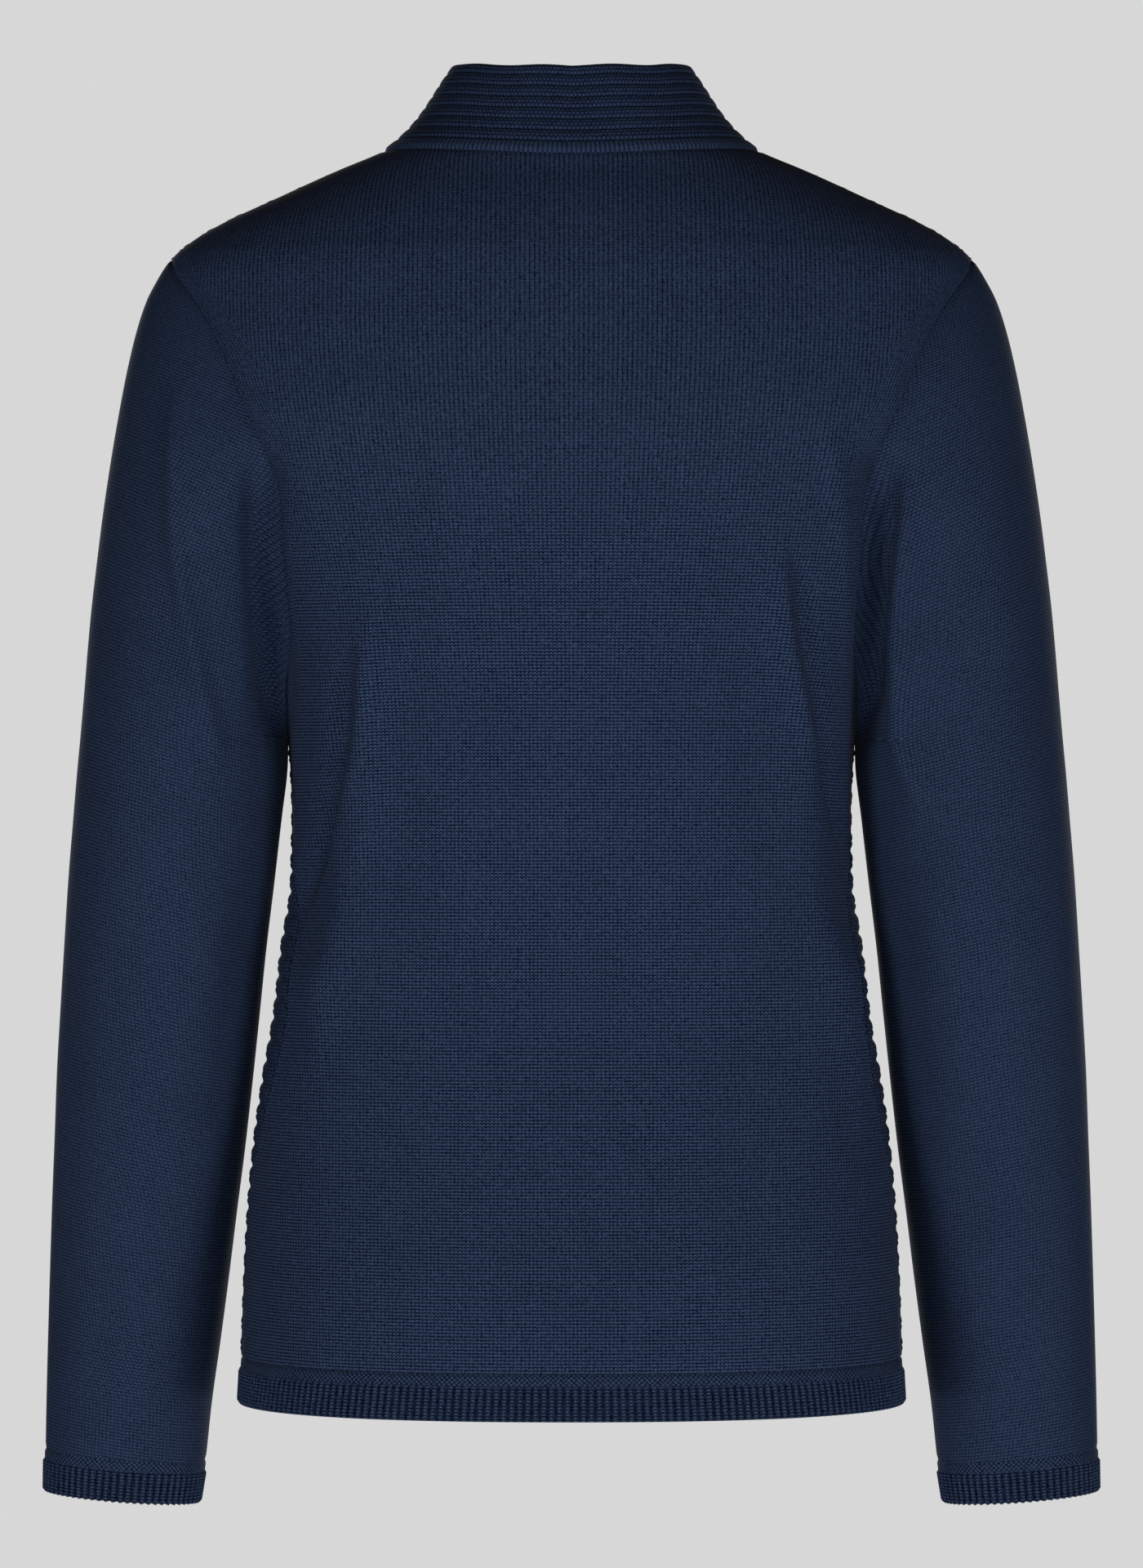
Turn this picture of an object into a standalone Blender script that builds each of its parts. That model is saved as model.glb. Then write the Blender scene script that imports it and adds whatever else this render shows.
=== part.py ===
"""A zip-up cardigan in fine knit, filled out as if it were worn, open at the neck, hem and cuffs.

Lengths are metres, angles degrees.  +Z is up and the front faces -Y, so the wearer's left is at +X.
The origin is the middle of the neck opening, level with the points where shoulder and collar meet.
Every piece of cloth is a wall of its own: rows of points on its outer face, and a plain inner face
below them.  Pieces that are sewn together share the points and the directions of their seam, and each
keeps half of the seam gap to it.
"""

import bmesh
import bpy
import numpy as np
from mathutils import Vector

# Driving sizes.
PANEL_WALL = 0.0022
RIB_WALL = 0.0026
SEAM_GAP = 0.00035
HEM_Z = -0.6265
HEM_TOP_Z = -0.6045
HEM_BAND = 0.006
UNDERARM_Z = -0.2940
TIP_Z = -0.0537
NECK_SIDE = 0.0943
NECK_BACK_DROP = 0.006
NECK_FRONT_DROP = 0.075
NECK_FRONT_POWER = 1.3
CUFF_Z = -0.6785
CUFF_TOP_Z = -0.6565
CUFF_BAND = 0.005
ARMHOLE_MIDDLE_Z = (TIP_Z + UNDERARM_Z) / 2
ARMHOLE_HALF_HEIGHT = (TIP_Z - UNDERARM_Z) / 2
ARMHOLE_BACK = 0.075
ARMHOLE_FRONT = 0.070
COLLAR_TOP_SIDE = 0.0585
COLLAR_TOP_BACK = 0.055
COLLAR_TOP_FRONT = 0.074
COLLAR_TOP_POWER = 2.3

# Relief of the knit that stands out at arm's length.
FRONT_RIDGE_PITCH = 0.0106
FRONT_RIDGE = 0.0011
COLLAR_RIDGES = 8
COLLAR_RIDGE = 0.0009
HEM_RIB_PITCH = 0.0039
CUFF_RIB_PITCH = 0.00365
RIB = 0.0008

# The zip: a chain of teeth between two tapes, each tape sewn behind the edge of a front.
ZIP_EDGE = 0.0045
CHAIN_HALF_WIDTH = 0.0025
CHAIN_OUTER_DEPTH = 0.0016
CHAIN_INNER_DEPTH = 0.0038
TAPE_NEAR = CHAIN_HALF_WIDTH + SEAM_GAP
TAPE_FAR = 0.015
TAPE_OUTER_DEPTH = RIB_WALL + 0.0004
TAPE_INNER_DEPTH = TAPE_OUTER_DEPTH + 0.0006
BOX_LENGTH = 0.009
SLIDER_AT = 0.85
SLIDER_HALF_WIDTH = 0.0040
SLIDER_HALF_LENGTH = 0.0060
CHAIN_PAST_SLIDER = 0.0030
BOX_RISE = 0.0006
PLATE = 0.0012
POST_HALF_WIDTH = 0.0012
POST_LENGTH = 0.0024
BAIL_HALF_WIDTH = 0.0008
BAIL_LEG = 0.0012
BAIL_INSIDE = 0.0018
BAIL_TOP = 0.0036
PIVOT_ALONG = -0.0022
PIVOT_HEIGHT = 0.0012
TAB_HALF_THICKNESS = 0.00055
TAB_HALF_WIDTH = 0.0026
TAB_LENGTH = 0.022
TAB_WINDOW_HALF_WIDTH = 0.0015
TAB_WINDOW_END = 0.0053

# Counts of cells.
BACK_COLUMNS = 14
FRONT_COLUMNS = 7
SLEEVE_COLUMNS = 16
COLLAR_INNER_ROWS = 4

COLOURS = {
    "knit": (0.018, 0.030, 0.060),
    "rib": (0.015, 0.024, 0.045),
    "tape": (0.010, 0.014, 0.026),
    "metal": (0.35, 0.35, 0.36),
}


def table(names, *rows):
    """A table with named columns, its rows in order of rising height or angle."""
    return {name: np.array(column) for name, column in zip(names.split(), zip(*rows))}


# Level sections of the body: half width, reach to the back and to the front, how square the section
# is, and the angle of the side seam from centre back.  Above the underarm the half width is that of
# the section if it ran on past the armhole, and above the shoulder tip it is the shoulder line.
BODY = table(
    "z side back front power seam",
    (-0.6265, 0.1667, 0.1220, 0.1180, 2.30, 90),
    (-0.6045, 0.1655, 0.1200, 0.1170, 2.30, 89),
    (-0.5629, 0.1638, 0.1140, 0.1150, 2.30, 85),
    (-0.5301, 0.1620, 0.1060, 0.1130, 2.30, 80),
    (-0.4973, 0.1591, 0.0985, 0.1115, 2.30, 76),
    (-0.4645, 0.1546, 0.0925, 0.1105, 2.35, 74),
    (-0.4317, 0.1490, 0.0890, 0.1105, 2.35, 73.5),
    (-0.3989, 0.1453, 0.0890, 0.1115, 2.35, 74),
    (-0.3661, 0.1404, 0.0930, 0.1150, 2.35, 77),
    (-0.3333, 0.1398, 0.0985, 0.1195, 2.35, 83),
    (-0.3087, 0.1408, 0.1030, 0.1225, 2.40, 88),
    (-0.2940, 0.1420, 0.1050, 0.1240, 2.40, 90),
    (-0.2685, 0.1455, 0.1085, 0.1245, 2.40, 90),
    (-0.2303, 0.1555, 0.1120, 0.1225, 2.40, 90),
    (-0.2070, 0.1625, 0.1130, 0.1205, 2.40, 90),
    (-0.1823, 0.1700, 0.1135, 0.1175, 2.40, 90),
    (-0.1572, 0.1800, 0.1130, 0.1135, 2.40, 90),
    (-0.1328, 0.1905, 0.1110, 0.1075, 2.40, 90),
    (-0.1103, 0.1975, 0.1080, 0.0995, 2.30, 90),
    (-0.0905, 0.2005, 0.1050, 0.0905, 2.25, 90),
    (-0.0749, 0.2040, 0.1020, 0.0820, 2.15, 90),
    (-0.0642, 0.2050, 0.1000, 0.0750, 2.10, 90),
    (-0.0537, 0.2005, 0.0975, 0.0675, 2.05, 90),
    (-0.0460, 0.1920, 0.0945, 0.0610, 2.00, 90),
    (-0.0376, 0.1785, 0.0910, 0.0540, 2.00, 90),
    (-0.0233, 0.1478, 0.0840, 0.0400, 2.05, 90),
    (-0.0097, 0.1175, 0.0765, 0.0245, 2.15, 90),
    (-0.0030, 0.1010, 0.0740, 0.0135, 2.20, 90),
    (0.0000, 0.0943, 0.0730, 0.0001, 2.20, 90),
)

# Level sections of a sleeve: its outer edge, its middle, how far it reaches back and forward from
# there, how far the middle lies behind the armhole's, and how much the section tips up outwards.
SLEEVE = table(
    "z outer middle back front bend tilt",
    (-0.6785, 0.2674, 0.2283, 0.0345, 0.0340, -0.0385, 0.080),
    (-0.6565, 0.2669, 0.2263, 0.0365, 0.0360, -0.0365, 0.080),
    (-0.6285, 0.2662, 0.2244, 0.0390, 0.0385, -0.0345, 0.080),
    (-0.5957, 0.2651, 0.2215, 0.0425, 0.0420, -0.0310, 0.080),
    (-0.5629, 0.2638, 0.2186, 0.0465, 0.0455, -0.0265, 0.080),
    (-0.5301, 0.2624, 0.2158, 0.0500, 0.0490, -0.0220, 0.080),
    (-0.4973, 0.2608, 0.2128, 0.0535, 0.0520, -0.0175, 0.078),
    (-0.4645, 0.2593, 0.2101, 0.0565, 0.0550, -0.0130, 0.070),
    (-0.4317, 0.2572, 0.2072, 0.0590, 0.0570, -0.0090, 0.055),
    (-0.3989, 0.2550, 0.2043, 0.0610, 0.0590, -0.0050, 0.035),
    (-0.3661, 0.2528, 0.2011, 0.0630, 0.0605, -0.0020, 0.015),
    (-0.3333, 0.2501, 0.1978, 0.0645, 0.0620, -0.0005, 0.000),
    (-0.3087, 0.2480, 0.1953, 0.0655, 0.0630, 0.0000, 0.000),
    (-0.2940, 0.2466, 0.1944, 0.0660, 0.0635, 0.0000, 0.000),
    (-0.2685, 0.2444, 0.1930, 0.0670, 0.0640, 0.0000, 0.000),
    (-0.2511, 0.2430, 0.1920, 0.0675, 0.0645, 0.0000, 0.000),
    (-0.2303, 0.2411, 0.1900, 0.0680, 0.0650, 0.0000, 0.000),
    (-0.2070, 0.2384, 0.1870, 0.0690, 0.0655, 0.0000, 0.000),
    (-0.1823, 0.2353, 0.1820, 0.0700, 0.0660, 0.0000, 0.000),
    (-0.1572, 0.2316, 0.1760, 0.0700, 0.0660, 0.0000, 0.000),
    (-0.1328, 0.2275, 0.1720, 0.0690, 0.0650, 0.0000, 0.000),
    (-0.1103, 0.2232, 0.1730, 0.0645, 0.0600, 0.0000, 0.000),
    (-0.0905, 0.2185, 0.1790, 0.0550, 0.0510, 0.0000, 0.000),
    (-0.0749, 0.2134, 0.1870, 0.0430, 0.0400, 0.0000, 0.000),
    (-0.0642, 0.2079, 0.1940, 0.0310, 0.0290, 0.0000, 0.000),
    (-0.0564, 0.2030, 0.1992, 0.0160, 0.0150, 0.0000, 0.000),
    (-0.0537, 0.2006, 0.2004, 0.0010, 0.0010, 0.0000, 0.000),
)

# The collar's top edge and how far its wall curves in below it, by angle from centre back.
COLLAR = table(
    "angle top hollow",
    (0, 0.0388, 0.0020),
    (40, 0.0406, 0.0024),
    (60, 0.0425, 0.0030),
    (75, 0.0432, 0.0036),
    (90, 0.0415, 0.0038),
    (105, 0.0355, 0.0032),
    (120, 0.0235, 0.0024),
    (135, 0.0075, 0.0016),
    (150, -0.0080, 0.0010),
    (165, -0.0205, 0.0006),
    (180, -0.0260, 0.0004),
)

# The largest folds.  Each is a soft ridge (depth above zero) or trough along a line seen from the back
# or from the front: which way its cloth faces (1 back, -1 front), depth, half width, then points (x, z).
FOLDS = (
    (1, 0.0050, 0.015, ((0.102, -0.213), (0.106, -0.313), (0.118, -0.389), (0.130, -0.465))),
    (1, -0.0045, 0.010, ((0.122, -0.300), (0.124, -0.373), (0.137, -0.420))),
    (1, 0.0050, 0.015, ((-0.102, -0.189), (-0.116, -0.301), (-0.134, -0.405), (-0.150, -0.493))),
    (1, -0.0045, 0.010, ((-0.122, -0.285), (-0.130, -0.353), (-0.141, -0.415))),
    (1, 0.0035, 0.016, ((0.195, -0.113), (0.193, -0.207), (0.183, -0.266), (0.171, -0.325))),
    (1, 0.0035, 0.014, ((-0.164, -0.153), (-0.156, -0.225), (-0.159, -0.295), (-0.174, -0.345))),
    (1, -0.0050, 0.009, ((0.152, -0.140), (0.151, -0.190), (0.147, -0.240), (0.145, -0.300))),
    (1, -0.0050, 0.009, ((-0.152, -0.140), (-0.151, -0.190), (-0.147, -0.240), (-0.145, -0.300))),
    (-1, -0.0045, 0.010, ((0.154, -0.150), (0.151, -0.200), (0.147, -0.250), (0.145, -0.300))),
    (-1, -0.0045, 0.010, ((-0.154, -0.150), (-0.151, -0.200), (-0.147, -0.250), (-0.145, -0.300))),
    (-1, 0.0040, 0.016, ((0.112, -0.190), (0.110, -0.290), (0.116, -0.380), (0.128, -0.470))),
    (-1, 0.0040, 0.016, ((-0.110, -0.200), (-0.108, -0.300), (-0.118, -0.400), (-0.132, -0.480))),
)


def read(rows, name, at):
    """A column of a table at any height or angle, on a smooth curve that never swings past its rows."""
    knots = rows["z"] if "z" in rows else rows["angle"]
    values = rows[name]
    rates = np.diff(values) / np.diff(knots)
    turns = rates[:-1] * rates[1:]
    sums = np.where(turns > 0, rates[:-1] + rates[1:], 1)
    inner = np.where(turns > 0, 2 * turns / sums, 0)
    slopes = np.concatenate([rates[:1], inner, rates[-1:]])
    at = np.clip(at, knots[0], knots[-1])
    low = np.clip(np.searchsorted(knots, at) - 1, 0, len(knots) - 2)
    span = knots[low + 1] - knots[low]
    t = (at - knots[low]) / span
    return (
        values[low] * (1 + 2 * t) * (1 - t) ** 2
        + slopes[low] * span * t * (1 - t) ** 2
        + values[low + 1] * t**2 * (3 - 2 * t)
        + slopes[low + 1] * span * t**2 * (t - 1)
    )


def stack(x, y, z):
    return np.stack(np.broadcast_arrays(x, y, z), axis=-1)


def unit(vectors):
    return vectors / np.maximum(np.linalg.norm(vectors, axis=-1, keepdims=True), 1e-12)


def ease(t):
    t = np.clip(t, 0, 1)
    return t * t * (3 - 2 * t)


# The surfaces.


def body(z, angle):
    """The outer face of the body at a height and an angle from centre back, towards +X if above 0."""
    sine = np.sin(np.radians(angle))
    cosine = np.cos(np.radians(angle))
    side = read(BODY, "side", z)
    power = read(BODY, "power", z)
    depth = np.where(cosine > 0, read(BODY, "back", z), read(BODY, "front", z))
    radius = (abs(sine / side) ** power + abs(cosine / depth) ** power) ** (-1 / power)
    drop = NECK_BACK_DROP * np.clip(1 - z / TIP_Z, 0, 1) ** 1.5
    return stack(radius * sine, radius * cosine, z - drop * np.maximum(cosine, 0) ** 2)


def side_at(z, y):
    """How far out the body's section reaches at a distance y behind its middle."""
    depth = np.where(y > 0, read(BODY, "back", z), read(BODY, "front", z))
    power = read(BODY, "power", z)
    return read(BODY, "side", z) * (1 - abs(y / depth) ** power) ** (1 / power)


def armhole(z, facing):
    """x and y of the left armhole seam at a height, on its back edge (facing 1) or front edge (-1)."""
    level = np.clip((z - ARMHOLE_MIDDLE_Z) / ARMHOLE_HALF_HEIGHT, -1, 1)
    depth = ARMHOLE_BACK if facing > 0 else ARMHOLE_FRONT
    y = facing * depth * np.sqrt(1 - level**2)
    return side_at(z, y), y


def seam_angle(z, facing):
    """The angle of a panel's outer edge: shoulder seam, then armhole, then side seam."""
    x, y = armhole(z, facing)
    angle = np.where(z > TIP_Z, 90, np.degrees(np.arctan2(x, y)))
    return np.where(z < UNDERARM_Z, read(BODY, "seam", z), angle)


def neck_half_width(z):
    """How far from the middle the front neckline lies at a height."""
    fraction = np.clip(-z / NECK_FRONT_DROP, 0, 1) ** (1 / NECK_FRONT_POWER)
    return np.maximum(NECK_SIDE * np.sqrt(1 - fraction**2), ZIP_EDGE)


def front_angle(z, x):
    """The angle at which the front lies at a height and a distance from the middle."""
    depth = read(BODY, "front", z)
    power = read(BODY, "power", z)
    share = np.clip(1 - (x / read(BODY, "side", z)) ** power, 0, 1)
    return np.degrees(np.arctan2(x, -depth * share ** (1 / power)))


def sleeve(z, u):
    """The outer face of the left sleeve: u is -1 at the back seam or inside line, 0 outside, 1 in front."""
    facing = np.where(u < 0, 1, -1)
    middle = read(SLEEVE, "middle", z)
    half = read(SLEEVE, "outer", z) - middle
    depth = np.where(u < 0, read(SLEEVE, "back", z), read(SLEEVE, "front", z))
    back_x, back_y = armhole(z, 1)
    front_x, front_y = armhole(z, -1)
    seam_x = np.where(z < UNDERARM_Z, middle - half, np.where(u < 0, back_x, front_x))
    seam_y = np.where(z < UNDERARM_Z, 0, np.where(u < 0, back_y, -front_y))
    start = np.where(z < UNDERARM_Z, np.pi, np.arctan2(seam_y / depth, (seam_x - middle) / half))
    turn = start * abs(u)
    hold = ease((abs(u) - 0.55) / 0.45)
    x = middle + half * np.cos(turn) + hold * (seam_x - middle - half * np.cos(start))
    y = depth * np.sin(turn) + hold * (seam_y - depth * np.sin(start))
    height = z + read(SLEEVE, "tilt", z) * (x - middle)
    return stack(x, facing * y + read(SLEEVE, "bend", z), height)


def ring_top(angle):
    """The collar's top edge at an angle from centre back."""
    sine = np.sin(np.radians(angle))
    cosine = np.cos(np.radians(angle))
    depth = np.where(cosine > 0, COLLAR_TOP_BACK, COLLAR_TOP_FRONT)
    power = COLLAR_TOP_POWER
    radius = (abs(sine / COLLAR_TOP_SIDE) ** power + abs(cosine / depth) ** power) ** (-1 / power)
    return stack(radius * sine, radius * cosine, read(COLLAR, "top", abs(angle)))


def ring_top_front(x):
    """The collar's top edge at a distance x from the middle, in front."""
    share = 1 - abs(x / COLLAR_TOP_SIDE) ** COLLAR_TOP_POWER
    y = -COLLAR_TOP_FRONT * share ** (1 / COLLAR_TOP_POWER)
    return ring_top(np.degrees(np.arctan2(x, y)))


def collar_wall(base, top, rise):
    """Points between the neckline and the collar's top edge; rise is 0 at the neckline, 1 on top."""
    angle = abs(np.degrees(np.arctan2(base[..., 0], base[..., 1])))
    hollow = read(COLLAR, "hollow", angle) * 6.75 * rise * (1 - rise) ** 2
    outward = unit(base * (1, 1, 0))
    return base + (top - base) * rise[..., None] - outward * hollow[..., None]


def normals_of(surface, first, second, first_range, second_range):
    """The directions out of a surface given by two values, from small steps along both."""
    step_one = (first_range[1] - first_range[0]) * 1e-4
    step_two = (second_range[1] - second_range[0]) * 1e-4
    one = surface(np.clip(first + step_one, *first_range), second)
    one = one - surface(np.clip(first - step_one, *first_range), second)
    two = surface(first, np.clip(second + step_two, *second_range))
    two = two - surface(first, np.clip(second - step_two, *second_range))
    return unit(np.cross(one, two))


def body_normals(z, angle):
    normals = normals_of(body, z, angle, (HEM_Z, 0), (-360, 360))
    shoulder = (abs(abs(angle) - 90) < 1e-6) & (z >= TIP_Z)
    return unit(normals * stack(1, np.where(shoulder, 0, 1), 1))


def sleeve_normals(z, u):
    return normals_of(sleeve, z, u, (CUFF_Z, TIP_Z), (-1, 1))


def armhole_normals(z, facing):
    """The directions shared by the body and the left sleeve along their seam: down at the underarm."""
    x, y = armhole(z, facing)
    depth = ARMHOLE_BACK if facing > 0 else ARMHOLE_FRONT
    down = stack(0, 0.3 * y / depth, -1 + 0 * z)
    share = ease((-0.215 - z) / (-0.215 - UNDERARM_Z))[..., None]
    return unit(body_normals(z, np.degrees(np.arctan2(x, y))) * (1 - share) + down * share)


# The folds.


def distances(points, path):
    """How far points (x, z) lie from a bent line, and how far along it, from 0 to 1."""
    path = np.array(path)
    lengths = np.linalg.norm(np.diff(path, axis=0), axis=1)
    starts = np.concatenate([[0], np.cumsum(lengths)])
    best = np.full(points.shape[:-1], np.inf)
    along = np.zeros(points.shape[:-1])
    for index, length in enumerate(lengths):
        step = (path[index + 1] - path[index]) / length
        reach = np.clip((points - path[index]) @ step, 0, length)
        gap = np.linalg.norm(points - path[index] - reach[..., None] * step, axis=-1)
        along = np.where(gap < best, (starts[index] + reach) / starts[-1], along)
        best = np.minimum(best, gap)
    return best, along


def folds(points, normals):
    """How far the folds move cloth out of its smooth surface."""
    total = np.zeros(points.shape[:-1])
    for facing, depth, width, path in FOLDS:
        gap, along = distances(points[..., [0, 2]], path)
        fade = ease(4 * along) * ease(4 * (1 - along))
        turned = ease((facing * normals[..., 1] - 0.05) / 0.4)
        total += depth * np.exp(-((gap / width) ** 2)) * fade * turned
    return total


def folded(points, normals):
    return points + folds(points, normals)[..., None] * normals


# Rows of heights that neighbouring pieces share.

NECK_END_Z = -NECK_FRONT_DROP * (1 - (ZIP_EDGE / NECK_SIDE) ** 2) ** (NECK_FRONT_POWER / 2)
SHOULDER_Z = (0.0, -0.0097, -0.0233, -0.0376, -0.0460)
ARMHOLE_TURNS = (14, 24, 31.5, None, 46, 58, 70, 82, 94, 106, 118, 130, 142, 153, 163)
BELOW_UNDERARM_Z = -0.3030
SIDE_Z = (BELOW_UNDERARM_Z,) + tuple(np.linspace(-0.3240, HEM_TOP_Z, 12))
ARM_Z = (BELOW_UNDERARM_Z,) + tuple(np.linspace(-0.3240, CUFF_TOP_Z, 13))


def armhole_heights():
    """Heights down the armhole, at even turns round its seam and one level with the neck's end."""
    rows = []
    for turn in ARMHOLE_TURNS:
        if turn is None:
            rows.append(NECK_END_Z)
        else:
            rows.append(ARMHOLE_MIDDLE_Z + ARMHOLE_HALF_HEIGHT * np.cos(np.radians(turn)))
    return tuple(rows)


ARMHOLE_Z = (TIP_Z,) + armhole_heights() + (UNDERARM_Z,)
PANEL_Z = np.array(SHOULDER_Z + ARMHOLE_Z + SIDE_Z)
SLEEVE_Z = np.array(ARMHOLE_Z + ARM_Z)
UNDERARM_ROW = len(ARMHOLE_Z) - 1
ZIP_Z = (-0.2800, -0.2552, -0.2303, -0.2070, -0.1823, -0.1572, -0.1328, -0.1103, -0.0905)


# Walls.


class Wall:
    """The points and faces of one closed wall."""

    def __init__(self):
        self.points = []
        self.faces = []

    def row(self, points):
        """Adds a row of points and returns their numbers."""
        first = len(self.points)
        self.points.extend(tuple(point) for point in points)
        return list(range(first, len(self.points)))

    def rows(self, grid):
        return [self.row(points) for points in grid]

    def ladder(self, one, other, one_keys=None, other_keys=None):
        """Faces between two rows.  Their counts may differ, and keys then say how far along each is."""
        if one_keys is None and len(one) == len(other):
            for index in range(len(one) - 1):
                self.faces.append((one[index], one[index + 1], other[index + 1], other[index]))
            return
        one_keys = np.linspace(0, 1, len(one)) if one_keys is None else one_keys
        other_keys = np.linspace(0, 1, len(other)) if other_keys is None else other_keys
        i = 0
        j = 0
        while i < len(one) - 1 or j < len(other) - 1:
            if j == len(other) - 1 or (i < len(one) - 1 and one_keys[i + 1] <= other_keys[j + 1]):
                self.faces.append((one[i], one[i + 1], other[j]))
                i += 1
            else:
                self.faces.append((one[i], other[j + 1], other[j]))
                j += 1

    def sheet(self, rows):
        for one, other in zip(rows, rows[1:]):
            self.ladder(one, other)

    def build(self, name, colour, collection):
        mesh = bpy.data.meshes.new(name)
        cage = bmesh.new()
        corners = [cage.verts.new(point) for point in self.points]
        for face in self.faces:
            cage.faces.new([corners[index] for index in face])
        bmesh.ops.recalc_face_normals(cage, faces=cage.faces)
        if cage.calc_volume(signed=True) < 0:
            bmesh.ops.reverse_faces(cage, faces=cage.faces)
        cage.to_mesh(mesh)
        cage.free()
        mesh.shade_smooth()
        mesh.set_sharp_from_angle(angle=np.radians(50))
        return place(name, mesh, colour, collection)


def finish(name, colour):
    """A material for one piece: dull knit, or satin metal."""
    material = bpy.data.materials.new(name)
    material.use_nodes = True
    surface = material.node_tree.nodes["Principled BSDF"]
    surface.inputs["Base Color"].default_value = (*COLOURS[colour], 1)
    surface.inputs["Roughness"].default_value = 0.4 if colour == "metal" else 0.9
    surface.inputs["Metallic"].default_value = 1.0 if colour == "metal" else 0.0
    return material


def place(name, data, colour, collection):
    """A named object with a material of its own."""
    data.materials.append(finish(name, colour))
    item = bpy.data.objects.new(name, data)
    collection.objects.link(item)
    return item


def settle(points, normals, loop):
    """Moves the corners of a closed edge by half the seam gap into their own piece."""
    moved = points.copy()
    last_row = points.shape[0] - 1
    last_column = points.shape[1] - 1
    steps = []
    for index, corner in enumerate(loop):
        before = unit(points[corner] - points[loop[index - 1]])
        after = unit(points[loop[(index + 1) % len(loop)]] - points[corner])
        one = unit(np.cross(normals[corner], before))
        two = unit(np.cross(normals[corner], after))
        steps.append((one + two) / max(1 + one @ two, 0.5))
    sign = 0
    for corner, step in zip(loop, steps):
        row = min(max(corner[0], 1), last_row - 1)
        column = min(max(corner[1], 1), last_column - 1)
        sign += step @ (points[row, column] - points[corner])
    for corner, step in zip(loop, steps):
        moved[corner] = points[corner] + np.sign(sign) * step * SEAM_GAP / 2
    return moved


def edge_loop(rows, columns, pointed):
    """The grid places round a panel; a pointed one has a single corner on top."""
    top = [(0, 0)] if pointed else [(0, column) for column in range(columns + 1)]
    left = [(row, columns) for row in range(1, rows + 1)]
    bottom = [(rows, column) for column in range(columns - 1, -1, -1)]
    right = [(row, 0) for row in range(rows - 1, 0, -1)]
    return top + left + bottom + right


def close_edges(wall, outer, inner, outer_keys=None, inner_keys=None):
    """Joins the outer and inner faces of a panel along its two sides and its bottom."""
    outer_keys = np.arange(len(outer)) if outer_keys is None else outer_keys
    inner_keys = np.arange(len(inner)) if inner_keys is None else inner_keys
    for column in (0, -1):
        outside = [row[column] for row in outer]
        inside = [row[column] for row in inner]
        wall.ladder(outside, inside, outer_keys, inner_keys)
    wall.ladder(outer[-1], inner[-1])


# Pieces of cloth.


def neckline():
    """The collar's base from the left front edge round the back to the right one: points, directions."""
    front_z = PANEL_Z[PANEL_Z >= NECK_END_Z - 1e-9][::-1]
    front_turns = front_angle(front_z, neck_half_width(front_z))
    front_turns[-1] = 90
    back_turns = np.linspace(90, -90, BACK_COLUMNS + 1)[1:-1]
    turns = np.concatenate([front_turns, back_turns, -front_turns[::-1]])
    heights = np.concatenate([front_z, 0 * back_turns, front_z[::-1]])
    base = body(heights, turns)
    top = ring_top(turns)
    top[0] = ring_top_front(ZIP_EDGE)
    top[-1] = ring_top_front(-ZIP_EDGE)
    low = collar_wall(base, top, np.full(len(base), 0.02))
    along = np.gradient(base, axis=0)
    upright = unit(np.cross(along, low - base))
    upright *= np.sign((upright * base * (1, 1, 0)).sum(axis=-1, keepdims=True))
    shared = unit(upright + body_normals(heights, turns))
    return base, top, shared


def front_columns(z, side):
    """Angles across a front at each height, from its outer edge to its inner one."""
    outer = seam_angle(z, -1)
    inner = front_angle(z, neck_half_width(z))
    inner = np.where(z >= 0, 90, inner)
    share = np.linspace(0, 1, FRONT_COLUMNS + 1)
    return side * (outer[:, None] + (inner - outer)[:, None] * share)


def back_columns(z):
    """Angles across the back; the middle ones hardly move as the armhole cuts in."""
    share = np.linspace(-1, 1, BACK_COLUMNS + 1)
    return 90 * share - (90 - seam_angle(z, 1)) * share * abs(share)


def mirrored(vectors, side):
    return vectors * (side, 1, 1)


def back_panel(collection, neck_normals):
    z = PANEL_Z[:, None]
    turns = back_columns(z)
    points = body(z, turns)
    normals = body_normals(z, turns)
    first = len(SHOULDER_Z)
    last = first + UNDERARM_ROW + 1
    for column, side in ((0, -1), (-1, 1)):
        normals[first:last, column] = mirrored(armhole_normals(PANEL_Z[first:last], 1), side)
    start = (len(neck_normals) - BACK_COLUMNS - 1) // 2
    normals[0] = neck_normals[start : start + BACK_COLUMNS + 1][::-1]
    points = folded(points, normals)
    points = settle(points, normals, edge_loop(len(PANEL_Z) - 1, BACK_COLUMNS, False))
    wall = Wall()
    outer = wall.rows(points)
    inner = wall.rows(points - PANEL_WALL * normals)
    wall.sheet(outer)
    wall.sheet(inner)
    wall.ladder(outer[0], inner[0])
    close_edges(wall, outer, inner)
    return wall.build("back_panel", "knit", collection)


def front_grid(side, neck_normals):
    """The plain rows of a front: points with their seam gap, and directions."""
    turns = front_columns(PANEL_Z, side)
    z = np.broadcast_to(PANEL_Z[:, None], turns.shape)
    points = body(z, turns)
    normals = body_normals(z, turns)
    first = len(SHOULDER_Z)
    last = first + UNDERARM_ROW + 1
    normals[first:last, 0] = mirrored(armhole_normals(PANEL_Z[first:last], -1), side)
    neck_rows = np.flatnonzero(PANEL_Z >= NECK_END_Z - 1e-9)
    edge = neck_normals[: len(neck_rows)][::-1]
    if side < 0:
        edge = neck_normals[-len(neck_rows) :]
    normals[neck_rows, -1] = edge
    normals[0] = edge[0]
    points = folded(points, normals)
    points = settle(points, normals, edge_loop(len(PANEL_Z) - 1, FRONT_COLUMNS, True))
    points[0] = points[0, 0]
    return points, normals


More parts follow.
